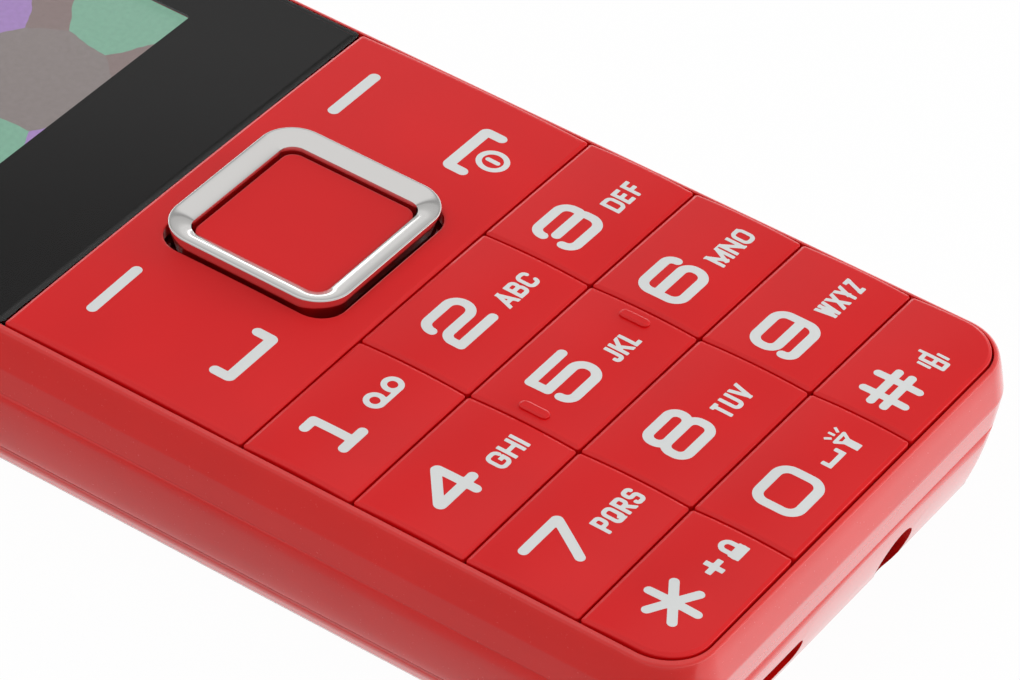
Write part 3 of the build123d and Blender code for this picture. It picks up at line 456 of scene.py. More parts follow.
INNER_FINISHES: dict[str, object] = {
    "black_film": MouldedPlastic("printed_black_film", "#0B0A0A", 0.25, 0.2, 0.0005),
    "light_guide": MouldedPlastic("acrylic_light_guide", "#E6EAEC", 0.2, 0.4, 0.001),
    "sheet_steel": Metal("stainless_sheet", "#B9BBBD", 0.3, 0.05, 4.0, 0.08),
    "polyimide": MouldedPlastic("polyimide_film", "#B5651D", 0.3, 0.5, 0.001),
    "black_plastic": MouldedPlastic("nylon_black", "#1A1A1B", 0.45),
    "silicone": MouldedPlastic("silicone_mat", "#D8D8D2", 0.55, 0.3, 0.002),
    "dome_film": MouldedPlastic("polyester_dome_film", "#CFCFC8", 0.35, 0.3, 0.001),
    "led_body": MouldedPlastic("led_epoxy", "#EEEBD0", 0.2),
    "board": CircuitBoard("solder_mask_board"),
    "tin": Metal("tinned_can", "#C2C3C0", 0.32, 0.4, 2.0, 0.1),
    "rubber": MouldedPlastic("rubber_boot", "#202020", 0.7, 0.2, 0.003),
    "battery_wrap": MouldedPlastic("battery_shrink_wrap", "#4A4D50", 0.4, 0.6, 0.002),
    "gold": Metal("gold_plate", "#D9A441", 0.2, 0.1, 1.0, 0.05),
    "mesh": WovenMesh("dust_mesh"),
    "tungsten": Metal("sintered_tungsten", "#77787A", 0.5, 0.08, 0.08, 0.15),
    "antenna_foil": Metal("copper_foil", "#C98A4B", 0.25, 0.1, 2.0, 0.06),
    "lens": ClearAcrylic("torch_acrylic"),
    "screw_steel": Metal("blackened_screw_steel", "#5E5F61", 0.35, 0.1, 0.3, 0.08),
}


# Surfaces


@dataclass(frozen=True)
class Plan:
    """A rectangle with four corner radii: high x high y, low x high y, low x low y, high x low y."""

    x0: float
    x1: float
    y0: float
    y1: float
    radii: tuple[float, float, float, float]
    arc_steps: int = 10
    side_steps: int = 10

    @classmethod
    def centred(cls, width: float, length: float, radius: float, y: float = 0.0, x: float = 0.0) -> Plan:
        """A plan round a middle point, with one radius."""
        return cls(x - width / 2, x + width / 2, y - length / 2, y + length / 2, (radius,) * 4)

    @property
    def middle(self) -> Array:
        """Middle of the plan."""
        return np.array([(self.x0 + self.x1) / 2, (self.y0 + self.y1) / 2])

    def ring(self, inset: float = 0.0) -> Array:
        """Points round the plan, moved inwards by a distance.

        Each corner is a quarter circle about its own centre, whose radius
        shrinks with the inset, and each side is cut into equal steps. Every
        inset has as many points, in the same order.

        Args:
            inset: Distance inwards; negative goes outwards.

        Returns:
            Points as an n by 2 array, anticlockwise from the high-x side's end.
        """
        x0, x1, y0, y1 = self.x0 + inset, self.x1 - inset, self.y0 + inset, self.y1 - inset
        radii = [max(r - inset, 0.01) for r in self.radii]
        signs = ((1, 1), (-1, 1), (-1, -1), (1, -1))
        arcs = []
        for index, ((sx, sy), r) in enumerate(zip(signs, radii)):
            centre = np.array([x1 - r if sx > 0 else x0 + r, y1 - r if sy > 0 else y0 + r])
            angle = np.linspace(0, math.pi / 2, self.arc_steps + 1) + index * math.pi / 2
            arcs.append(centre + r * np.column_stack([np.cos(angle), np.sin(angle)]))
        rows = []
        share = np.linspace(0, 1, self.side_steps + 1)[1:-1, None]
        for index, arc in enumerate(arcs):
            after = arcs[(index + 1) % 4][0]
            rows += [arc, arc[-1] + share * (after - arc[-1])]
        return np.vstack(rows)


class Skin:
    """Points and faces gathered for one piece."""

    def __init__(self) -> None:
        """Starts empty."""
        self._points: list[Array] = []
        self._faces: list[list[int]] = []
        self._count = 0

    def _append(self, points: Array) -> int:
        """Adds points and returns the index of the first."""
        first = self._count
        self._points.append(np.asarray(points, float).reshape(-1, 3))
        self._count += len(self._points[-1])
        return first

    def sheet(self, grid: Array, wrap_rows: bool = False, flat_ends: bool = False, poles: Sequence[Array] | None = None) -> None:
        """Adds a grid of points whose columns close round on themselves.

        Args:
            grid: Rows by columns by 3.
            wrap_rows: Whether the last row joins the first.
            flat_ends: Whether the first and last rows each become one face.
            poles: A point before the first row and one after the last, joined by fans.
        """
        rows, columns = grid.shape[:2]
        first = self._append(grid)
        down = np.arange(rows if wrap_rows else rows - 1)[:, None]
        side = np.arange(columns)[None, :]
        under, beside = (down + 1) % rows, (side + 1) % columns
        quads = np.stack(
            [down * columns + side, down * columns + beside, under * columns + beside, under * columns + side], axis=-1
        )
        self._faces += (quads.reshape(-1, 4) + first).tolist()
        last = first + (rows - 1) * columns
        if flat_ends:
            self._faces += [list(range(first, first + columns))[::-1], list(range(last, last + columns))]
        if poles is not None:
            start = self._append(np.array(poles))
            for pole, row in ((start, first), (start + 1, last)):
                ring = np.arange(columns)
                fan = np.stack([np.full(columns, pole), row + ring, row + (ring + 1) % columns], axis=-1)
                self._faces += fan.tolist()

    def patch(self, points: Array, faces: list[list[int]]) -> None:
        """Adds points and faces whose indices count from the first of them."""
        first = self._append(points)
        self._faces += [[first + index for index in face] for face in faces]

    def piece(self, name: str, finish: bpy.types.Material, body: str, sharp: float = 35.0) -> bpy.types.Object:
        """Makes the object, with its normals outwards and its creases by angle.

        Args:
            name: Piece's name.
            finish: Its material.
            body: Body it rides on.
            sharp: Edges that turn by more degrees are creases.

        Returns:
            The new object.
        """
        mesh = bpy.data.meshes.new(name)
        mesh.from_pydata((np.vstack(self._points) * MM).tolist(), [], self._faces)
        finish_mesh(mesh, sharp)
        return place_piece(name, mesh, finish, body)


def finish_mesh(mesh: bpy.types.Mesh, sharp: float, merge: float = 0.0) -> None:
    """Merges a mesh's doubles if asked, or else turns its faces outwards, and shades it smooth between creases."""
    work = bmesh.new()
    work.from_mesh(mesh)
    if merge > 0:
        bmesh.ops.remove_doubles(work, verts=work.verts, dist=merge)
    else:
        bmesh.ops.recalc_face_normals(work, faces=work.faces)
    work.to_mesh(mesh)
    work.free()
    mesh.shade_smooth()
    mesh.set_sharp_from_angle(angle=math.radians(sharp))


def place_piece(
    name: str, mesh: bpy.types.Mesh, finish: bpy.types.Material, body: str
) -> bpy.types.Object:
    """Links a mesh as an object at the origin that rides on a body.

    Args:
        name: Piece's name.
        mesh: Its mesh, in place.
        finish: Its material.
        body: Body it rides on.

    Returns:
        The new object.
    """
    mesh.materials.clear()
    mesh.materials.append(finish)
    made = bpy.data.objects.new(name, mesh)
    bpy.context.scene.collection.objects.link(made)
    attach(made, body)
    return made


def raised(ring: Array, height: Array | float) -> Array:
    """Gives a flat ring its heights."""
    return np.column_stack([ring, np.broadcast_to(height, len(ring))])


def edge_profile(edge: float) -> Array:
    """Rows of inset and drop over an upper edge: a quarter circle that ends in a flat bevel.

    The circle turns from upright to the bevel's tilt, and the bevel runs on
    inwards; a row just inside each of its ends keeps it flat in shading.

    Args:
        edge: Width of the whole edge.

    Returns:
        Rows from the side up to the top.
    """
    tilt, radius = math.radians(22), 0.45 * edge
    turn = np.linspace(0, math.pi / 2 - tilt, 5)
    circle = np.column_stack([radius * (1 - np.cos(turn)), radius * (1 - np.sin(turn))])
    share = np.array([0.08, 0.92, 1.0])
    start = circle[-1]
    bevel = np.column_stack([start[0] + share * (edge - start[0]), start[1] - share * (edge - start[0]) * math.tan(tilt)])
    rows = np.vstack([circle, bevel])
    rows[:, 1] -= rows[-1, 1]
    return rows


def cap(skin: Skin, plan: Plan, low: float, top: HeightField, edge: float) -> None:
    """Adds a closed cap: straight sides, a rounded and bevelled upper edge and a top that follows a height field.

    Inside the edge the rings shrink towards the middle.

    Args:
        skin: Gathers the surface.
        plan: Outline of the cap.
        low: Height of its underside.
        top: Height of its top over x and y.
        edge: Width of the upper edge.
    """
    rows = [raised(plan.ring(), low)]
    for inset, drop in edge_profile(edge):
        ring = plan.ring(inset)
        rows.append(raised(ring, top(ring[:, 0], ring[:, 1]) - drop))
    inner = plan.ring(edge)
    for share in (0.985, 0.86, 0.68, 0.48, 0.26, 0.08):
        ring = plan.middle + share * (inner - plan.middle)
        rows.append(raised(ring, top(ring[:, 0], ring[:, 1])))
    x, y = plan.middle
    skin.sheet(np.array(rows), poles=[np.array([x, y, low]), np.array([x, y, float(top(x, y))])])


def holed_cap(skin: Skin, plan: Plan, hole: Plan, low: float, top: HeightField, edge: float, hole_edge: float) -> None:
    """Adds a closed plate with a hole: like a cap, but its rings run from the outline to the hole.

    Args:
        skin: Gathers the surface.
        plan: Outline of the plate.
        hole: Outline of the hole.
        low: Height of the underside.
        top: Height of the top over x and y.
        edge: Radius of the outer upper edge.
        hole_edge: Radius of the hole's upper edge.
    """
    rows = [raised(plan.ring(), low)]
    for inset, drop in edge_profile(edge):
        ring = plan.ring(inset)
        rows.append(raised(ring, top(ring[:, 0], ring[:, 1]) - drop))
    start, end = plan.ring(edge), hole.ring(-hole_edge)
    for share in (0.015, *np.linspace(0, 1, 13)[1:-1], 0.985):
        ring = start + share * (end - start)
        rows.append(raised(ring, top(ring[:, 0], ring[:, 1])))
    for inset, drop in edge_profile(hole_edge)[::-1]:
        ring = hole.ring(-inset)
        rows.append(raised(ring, top(ring[:, 0], ring[:, 1]) - drop))
    rows.append(raised(hole.ring(), low))
    skin.sheet(np.array(rows), wrap_rows=True)


def upright(skin: Skin, plan: Plan, low: float, high: float) -> None:
    """Adds a closed upright post."""
    rows = np.array([raised(plan.ring(), low), raised(plan.ring(), high)])
    skin.sheet(rows, poles=[np.array([*plan.middle, low]), np.array([*plan.middle, high])])


def carried(skin: Skin, plan: Plan, profile: Array) -> None:
    """Carries a closed profile round a plan.

    Args:
        skin: Gathers the surface.
        plan: Path of the profile.
        profile: Rows of inset from the plan and height.
    """
    skin.sheet(np.array([raised(plan.ring(inset), height) for inset, height in profile]), wrap_rows=True)


def even_normals(made: bpy.types.Object) -> None:
    """Weights the shading normals by face area, so that flat faces beside a round shade flat."""
    modifier = made.modifiers.new("even", "WEIGHTED_NORMAL")
    modifier.keep_sharp = True
    view = bpy.context.evaluated_depsgraph_get()
    mesh = bpy.data.meshes.new_from_object(made.evaluated_get(view), depsgraph=view)
    made.modifiers.clear()
    made.data = mesh


def merged_copy(node: str, name: str, finish: bpy.types.Material, body: str, sharp: float = 28.0) -> bpy.types.Object:
    """Copies a CAD node's mesh, joins its loose triangles and shades it smooth between creases.

    Args:
        node: CAD node to copy and stand for.
        name: Piece's name.
        finish: Its material.
        body: Body it rides on.
        sharp: Edges that turn by more degrees are creases.

    Returns:
        The new object.
    """
    mesh = bpy.data.objects[node].data.copy()
    finish_mesh(mesh, sharp, merge=0.002 * MM)
    made = place_piece(name, mesh, finish, body)
    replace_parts(made, node)
    return made


# Legends


@dataclass(frozen=True)
class Stroke:
    """One printed line: corner points, a radius at each, its width and its ends."""

    points: tuple[tuple[float, float], ...]
    radii: tuple[float, ...] = ()
    width: float = 0.86
    closed: bool = False
    round_ends: bool = True
    band: tuple[float, float] | None = None

    def moved(self, x: float, y: float, wide: float = 1.0, high: float = 1.0) -> Stroke:
        """The stroke stretched about the origin and then moved."""
        points = tuple((x + wide * px, y + high * py) for px, py in self.points)
        band = None if self.band is None else (y + high * self.band[0], y + high * self.band[1])
        return replace(self, points=points, band=band)


def rounded_path(stroke: Stroke, step: float = 0.45) -> Array:
    """Samples a stroke's centre line.

    A corner with a radius becomes an arc that touches both its sides, whose
    centre lies the radius away from each, and the straight runs are cut into
    equal steps.

    Args:
        stroke: Line to follow.
        step: Longest step on a straight run.

    Returns:
        Points as an n by 2 array.
    """
    corners = np.array(stroke.points, float)
    radii = list(stroke.radii) + [0.0] * (len(corners) - len(stroke.radii))
    bends: list[Array] = []
    for index, (here, radius) in enumerate(zip(corners, radii)):
        if radius <= 0 or (not stroke.closed and index in (0, len(corners) - 1)):
            bends.append(here[None])
            continue
        before = here - corners[index - 1]
        after = corners[(index + 1) % len(corners)] - here
        before, after = before / np.linalg.norm(before), after / np.linalg.norm(after)
        turn = math.atan2(before[0] * after[1] - before[1] * after[0], float(before @ after))
        start = here - before * radius * math.tan(abs(turn) / 2)
        centre = start + math.copysign(radius, turn) * np.array([-before[1], before[0]])
        angles = np.linspace(0, turn, max(3, int(abs(turn) / 0.16)))
        spoke = start - centre
        bends.append(
            centre
            + np.column_stack(
                [
                    spoke[0] * np.cos(angles) - spoke[1] * np.sin(angles),
                    spoke[0] * np.sin(angles) + spoke[1] * np.cos(angles),
                ]
            )
        )
    line = np.vstack(bends + ([bends[0][:1]] if stroke.closed else []))
    runs = []
    for start, end in zip(line[:-1], line[1:]):
        cuts = max(1, math.ceil(np.linalg.norm(end - start) / step))
        runs.append(start + np.linspace(0, 1, cuts, endpoint=False)[:, None] * (end - start))
    return np.vstack(runs) if stroke.closed else np.vstack(runs + [line[-1:]])


def ink_depth(strokes: Sequence[Stroke], x: Array, y: Array) -> Array:
    """Tells how deep points lie in the ink of some strokes.

    Along each straight run the depth is half the width less the distance to
    the run. Past a round end or a bend the distance is to the end point; a
    flat end cuts the depth off square. Both runs at a square or sharp corner
    of a flat-ended line go on past it, and a stroke with a band is cut level
    at the band's two heights.

    Args:
        strokes: Lines to print.
        x: Places along X.
        y: Places along Y.

    Returns:
        The greatest depth over all the runs, negative outside the ink.
    """
    depth = np.full(x.shape, -9.0)
    for stroke in strokes:
        line = rounded_path(stroke)
        if stroke.closed:
            line = np.vstack([line, line[:1]])
        half = stroke.width / 2
        line = line[np.append(True, np.linalg.norm(np.diff(line, axis=0), axis=1) > 1e-6)]
        runs = np.diff(line, axis=0)
        lengths = np.linalg.norm(runs, axis=1)
        ways = runs / lengths[:, None]
        bends = np.sum(ways[1:] * ways[:-1], axis=1)
        free = None if stroke.round_ends or stroke.closed else 0.0
        inner = [None if free is None or bend > 0.5 else half * (1.0 if bend > -0.5 else 1.8) for bend in bends]
        ends = [free] + inner + [free]
        most = np.full(x.shape, 9.0)
        if stroke.band is not None:
            most = np.minimum(y - stroke.band[0], stroke.band[1] - y)
        for index, (start, way, length) in enumerate(zip(line, ways, lengths)):
            along = (x - start[0]) * way[0] + (y - start[1]) * way[1]
            across = np.abs((y - start[1]) * way[0] - (x - start[0]) * way[1])
            deep = half - across
            for past, reach in ((-along, ends[index]), (along - length, ends[index + 1])):
                if reach is None:
                    deep = np.where(past > 0, half - np.hypot(across, past), deep)
                else:
                    deep = np.minimum(deep, reach - past)
            depth = np.maximum(depth, np.minimum(deep, most))
    return depth


def print_ink(
    skin: Skin, strokes: Sequence[Stroke], surface: HeightField, cell: float = 0.08, proud: float = 0.014, sunk: float = 0.04
) -> None:
    """Adds strokes as one thin closed skin that follows a surface.

    A square grid is cut along the line where the ink's depth is zero: cells
    that lie wholly in the ink stay squares, and the others keep the part
    between their inner corners and the points where their sides cross that
    line, found by straight interpolation. The same outline under the surface
    closes the skin.

    Args:
        skin: Gathers the surface.
        strokes: Lines to print.
        surface: Height of what they are printed on.
        cell: Side of the grid's squares.
        proud: Height of the ink over the surface.
        sunk: Depth of the skin under it.
    """
    corners = np.array([p for stroke in strokes for p in stroke.points])
    margin = max(stroke.width for stroke in strokes)
    low, high = corners.min(axis=0) - margin, corners.max(axis=0) + margin
    x, y = np.meshgrid(*(np.arange(a, b + cell, cell) for a, b in zip(low, high)), indexing="ij")
    depth = ink_depth(strokes, x, y)
    least = 0.05 * cell
    depth = np.where(np.abs(depth) < least, np.where(depth > 0, least, -least), depth)
    inside = depth > 0
    number = np.cumsum(inside).reshape(inside.shape) - 1
    places = [np.column_stack([x[inside], y[inside]])]
    total = len(places[0])
    crossings = []
    for axis in (0, 1):
        first = (slice(None, -1), slice(None)) if axis == 0 else (slice(None), slice(None, -1))
        second = (slice(1, None), slice(None)) if axis == 0 else (slice(None), slice(1, None))
        crossed = inside[first] != inside[second]
        share = (depth[first] / (depth[first] - depth[second]))[crossed]
        at = [(grid[first][crossed] + share * (grid[second] - grid[first])[crossed]) for grid in (x, y)]
        crossings.append(np.cumsum(crossed).reshape(crossed.shape) - 1 + total)
        places.append(np.column_stack(at))
        total += len(places[-1])
    around = [inside[:-1, :-1], inside[1:, :-1], inside[1:, 1:], inside[:-1, 1:]]
    corner = [number[:-1, :-1], number[1:, :-1], number[1:, 1:], number[:-1, 1:]]
    edge = [crossings[0][:, :-1], crossings[1][1:, :], crossings[0][:, 1:], crossings[1][:-1, :]]
    case = sum(part.astype(int) << k for k, part in enumerate(around))
    faces: list[list[int]] = []
    for kind in range(1, 16):
        here = case == kind
        sides = []
        for k in range(4):
            own, after = kind >> k & 1, kind >> (k + 1) % 4 & 1
            if own:
                sides.append(corner[k][here])
            if own != after:
                sides.append(edge[k][here])
        faces += np.stack(sides, axis=-1).tolist()
    flat = np.vstack(places)
    level = surface(flat[:, 0], flat[:, 1])
    borders = {(a, b) for face in faces for a, b in zip(face, face[1:] + face[:1])}
    walls = [[a, a + total, b + total, b] for a, b in sorted(borders) if (b, a) not in borders]
    under = [[index + total for index in reversed(face)] for face in faces]
    skin.patch(np.vstack([raised(flat, level + proud), raised(flat, level - sunk)]), faces + under + walls)


# Number shapes in units of half their width and half their height, as wide square-shouldered figures.
FIGURES: dict[str, tuple[Stroke, ...]] = {
    "1": (Stroke(((-0.52, 1), (0, 1), (0, -1))), Stroke(((-0.56, -1), (0.56, -1)))),
    "2": (Stroke(((-1, 0.5), (-1, 1), (1, 1), (1, -0.14), (-1, -0.14), (-1, -1), (1, -1)), (0, 0.95, 1.0, 1.0, 0.8, 0, 0)),),
    "3": (
        Stroke(((-1, 0.5), (-1, 1), (1, 1), (1, 0.05), (-0.68, 0.05)), (0, 0.85, 1.0, 0.4, 0)),
        Stroke(((0.4, 0.05), (1, 0.05), (1, -1), (-1, -1), (-1, -0.5)), (0, 0.4, 1.0, 0.85, 0)),
    ),
    "4": (Stroke(((1, -0.46), (-1.02, -0.46), (0.55, 1), (0.55, -1)), (0, 0.12, 0.12, 0)),),
    "5": (
        Stroke(((1, 1), (-1, 1), (-1, 0.13), (1, 0.13), (1, -1), (-1, -1), (-1, -0.5)), (0, 0, 0, 1.0, 1.0, 0.85, 0)),
    ),
    "6": (Stroke(((1, 0.58), (1, 1), (-1, 1), (-1, -1), (1, -1), (1, 0.1), (-1, 0.1)), (0, 0.7, 1.0, 1.0, 1.0, 0.85, 0)),),
    "7": (Stroke(((-1.02, 1), (1.03, 1), (-0.1, -1)), (0, 0.1, 0)),),
    "8": (
        Stroke(((0.92, 1), (-0.92, 1), (-0.92, 0.08), (0.92, 0.08)), (0.8,) * 4, closed=True),
        Stroke(((1, 0.08), (-1, 0.08), (-1, -1), (1, -1)), (0.85,) * 4, closed=True),
    ),
    "9": (Stroke(((-1, -0.58), (-1, -1), (1, -1), (1, 1), (-1, 1), (-1, -0.14), (1, -0.14)), (0, 0.7, 1.0, 1.0, 1.0, 0.85, 0)),),
    "0": (Stroke(((1, 1), (-1, 1), (-1, -1), (1, -1)), (1.05,) * 4, closed=True),),
    "*": (
        Stroke(((0, 1.15), (0, -1.15)), width=0.8),
        Stroke(((-0.86, 0.61), (0.86, -0.61)), width=0.8),
        Stroke(((-0.86, -0.61), (0.86, 0.61)), width=0.8),
    ),
    "#": (
        Stroke(((-0.5, 1), (-0.5, -1)), width=0.76),
        Stroke(((0.5, 1), (0.5, -1)), width=0.76),
        Stroke(((-0.98, 0.32), (0.98, 0.32)), width=0.72),
        Stroke(((-0.98, -0.32), (0.98, -0.32)), width=0.72),
    ),
}

# Letters on a unit box: width of the box against its height, then each line with its corner radii.
LETTERS: dict[str, tuple[float, tuple[tuple[tuple[tuple[float, float], ...], tuple[float, ...]], ...]]] = {
    "A": (0.62, ((((0, 0), (0.5, 1), (1, 0)), ()), (((0.22, 0.28), (0.78, 0.28)), ()))),
    "B": (
        0.56,
        (
            (((0.5, 0.53), (0, 0.53), (0, 1), (0.94, 1), (0.94, 0.53), (0.3, 0.53)), (0, 0, 0, 0.3, 0.3, 0)),
            (((0.3, 0.53), (1, 0.53), (1, 0), (0, 0), (0, 0.6)), (0, 0.3, 0.3, 0, 0)),
        ),
    ),
    "C": (0.56, ((((1, 0.7), (1, 1), (0, 1), (0, 0), (1, 0), (1, 0.3)), (0, 0.36, 0.36, 0.36, 0.36, 0)),)),
    "D": (0.58, ((((0, 0), (0, 1), (1, 1), (1, 0), (0, 0)), (0, 0, 0.4, 0.4, 0)),)),
    "E": (0.48, ((((1, 1), (0, 1), (0, 0), (1, 0)), ()), (((0, 0.52), (0.9, 0.52)), ()))),
    "F": (0.48, ((((1, 1), (0, 1), (0, 0)), ()), (((0, 0.5), (0.9, 0.5)), ()))),
    "G": (
        0.58,
        ((((1, 0.7), (1, 1), (0, 1), (0, 0), (1, 0), (1, 0.46), (0.55, 0.46)), (0, 0.36, 0.36, 0.36, 0.36, 0, 0)),),
    ),
    "H": (0.58, ((((0, 0), (0, 1)), ()), (((1, 0), (1, 1)), ()), (((0, 0.52), (1, 0.52)), ()))),
    "I": (0.0, ((((0, 0), (0, 1)), ()),)),
    "J": (0.44, ((((1, 1), (1, 0), (0, 0), (0, 0.3)), (0, 0.34, 0.34, 0)),)),
    "K": (0.58, ((((0, 0), (0, 1)), ()), (((1, 1), (0.08, 0.4)), ()), (((0.36, 0.58), (1, 0)), ()))),
    "L": (0.46, ((((0, 1), (0, 0), (1, 0)), ()),)),
    "M": (0.8, ((((0, 0), (0, 1), (0.5, 0.15), (1, 1), (1, 0)), ()),)),
    "N": (0.6, ((((0, 0), (0, 1), (1, 0), (1, 1)), ()),)),
    "O": (0.6, ((((1, 1), (0, 1), (0, 0), (1, 0), (1, 0.5)), (0.38, 0.38, 0.38, 0.38, 0)), (((1, 0.5), (1, 1), (0.5, 1)), (0, 0.38, 0)))),
    "P": (0.54, ((((0, 0), (0, 1), (1, 1), (1, 0.42), (0, 0.42)), (0, 0, 0.34, 0.34, 0)),)),
    "Q": (
        0.6,
        (
            (((0.5, 1), (0, 1), (0, 0), (1, 0), (1, 1), (0.5, 1)), (0, 0.38, 0.38, 0.38, 0.38, 0)),
            (((0.55, 0.3), (1.02, -0.14)), ()),
        ),
    ),
    "R": (0.56, ((((0, 0), (0, 1), (1, 1), (1, 0.46), (0, 0.46)), (0, 0, 0.34, 0.34, 0)), (((0.45, 0.46), (1, 0)), ()))),
    "S": (
        0.54,
        (
            (
                ((1, 0.74), (1, 1), (0, 1), (0, 0.52), (1, 0.52), (1, 0), (0, 0), (0, 0.26)),
                (0, 0.32, 0.32, 0.3, 0.3, 0.32, 0.32, 0),
            ),
        ),
    ),
    "T": (0.56, ((((0, 1), (1, 1)), ()), (((0.5, 1), (0.5, 0)), ()))),
    "U": (0.56, ((((0, 1), (0, 0), (1, 0), (1, 1)), (0, 0.38, 0.38, 0)),)),
    "V": (0.62, ((((0, 1), (0.5, 0), (1, 1)), ()),)),
    "W": (0.9, ((((0, 1), (0.25, 0), (0.5, 0.9), (0.75, 0), (1, 1)), ()),)),
    "X": (0.6, ((((0, 0), (1, 1)), ()), (((0, 1), (1, 0)), ()))),
    "Y": (0.6, ((((0, 1), (0.5, 0.45), (1, 1)), ()), (((0.5, 0.5), (0.5, 0)), ()))),
    "Z": (0.54, ((((0, 1), (1, 1), (0, 0), (1, 0)), ()),)),
}


@dataclass(frozen=True)
class Lettering:
    """Small condensed capitals, drawn as lines of one width."""

    height: float = 1.5
    width: float = 0.37
    gap: float = 0.2

    def overrun(self, points: tuple[tuple[float, float], ...]) -> tuple[tuple[float, float], ...]:
        """Carries a line's ends that lie at the letter's head or foot on past it by the line's width."""
        out = [np.array(point, float) for point in points]
        for end, inner in ((0, 1), (-1, -2)):
            way = out[end] - out[inner]
            if abs(way[1]) > 0.01 and min(abs(out[end][1]), abs(out[end][1] - self.height)) < 0.01:
                out[end] = out[end] + way / np.linalg.norm(way) * self.width
        return tuple((float(x), float(y)) for x, y in out)

    def word(self, text: str, left: float, right: float, foot: float) -> list[Stroke]:
        """Lays out a word between two outer edges.

        Args:
            text: Capitals to write.
            left: Outer left edge.
            right: Outer right edge.
            foot: Outer foot of the letters.

        Returns:
            The word's strokes.
        """
        natural = sum(LETTERS[c][0] * self.height for c in text)
        room = right - left - len(text) * self.width - (len(text) - 1) * self.gap
        share = room / natural
        strokes = []
        x = left + self.width / 2
        for letter in text:
            wide = LETTERS[letter][0] * self.height * share
            for points, radii in LETTERS[letter][1]:
                scaled = tuple(r * min(wide, self.height) for r in radii)
                line = Stroke(points, scaled, self.width, False, False).moved(0, 0, max(wide, 0.01), self.height)
                line = replace(line, points=self.overrun(line.points), band=(-self.width / 2, self.height + self.width / 2))
                strokes.append(line.moved(x, foot + self.width / 2))
            x += wide + self.width + self.gap
        return strokes


@dataclass(frozen=True)
class Figure:
    """A large figure, placed by its middle."""

    sign: str
    x: float
    y: float
    half_width: float = 2.2
    half_height: float = 1.83

    def strokes(self) -> list[Stroke]:
        """The figure's strokes in place."""
        return [s.moved(self.x, self.y, self.half_width, self.half_height) for s in FIGURES[self.sign]]


def circle(x: float, y: float, radius: float, width: float) -> Stroke:
    """A round line as a square whose corner radius is half its side."""
    square = ((x + radius, y + radius), (x - radius, y + radius), (x - radius, y - radius), (x + radius, y - radius))
    return Stroke(square, (radius * 0.999,) * 4, width, True)


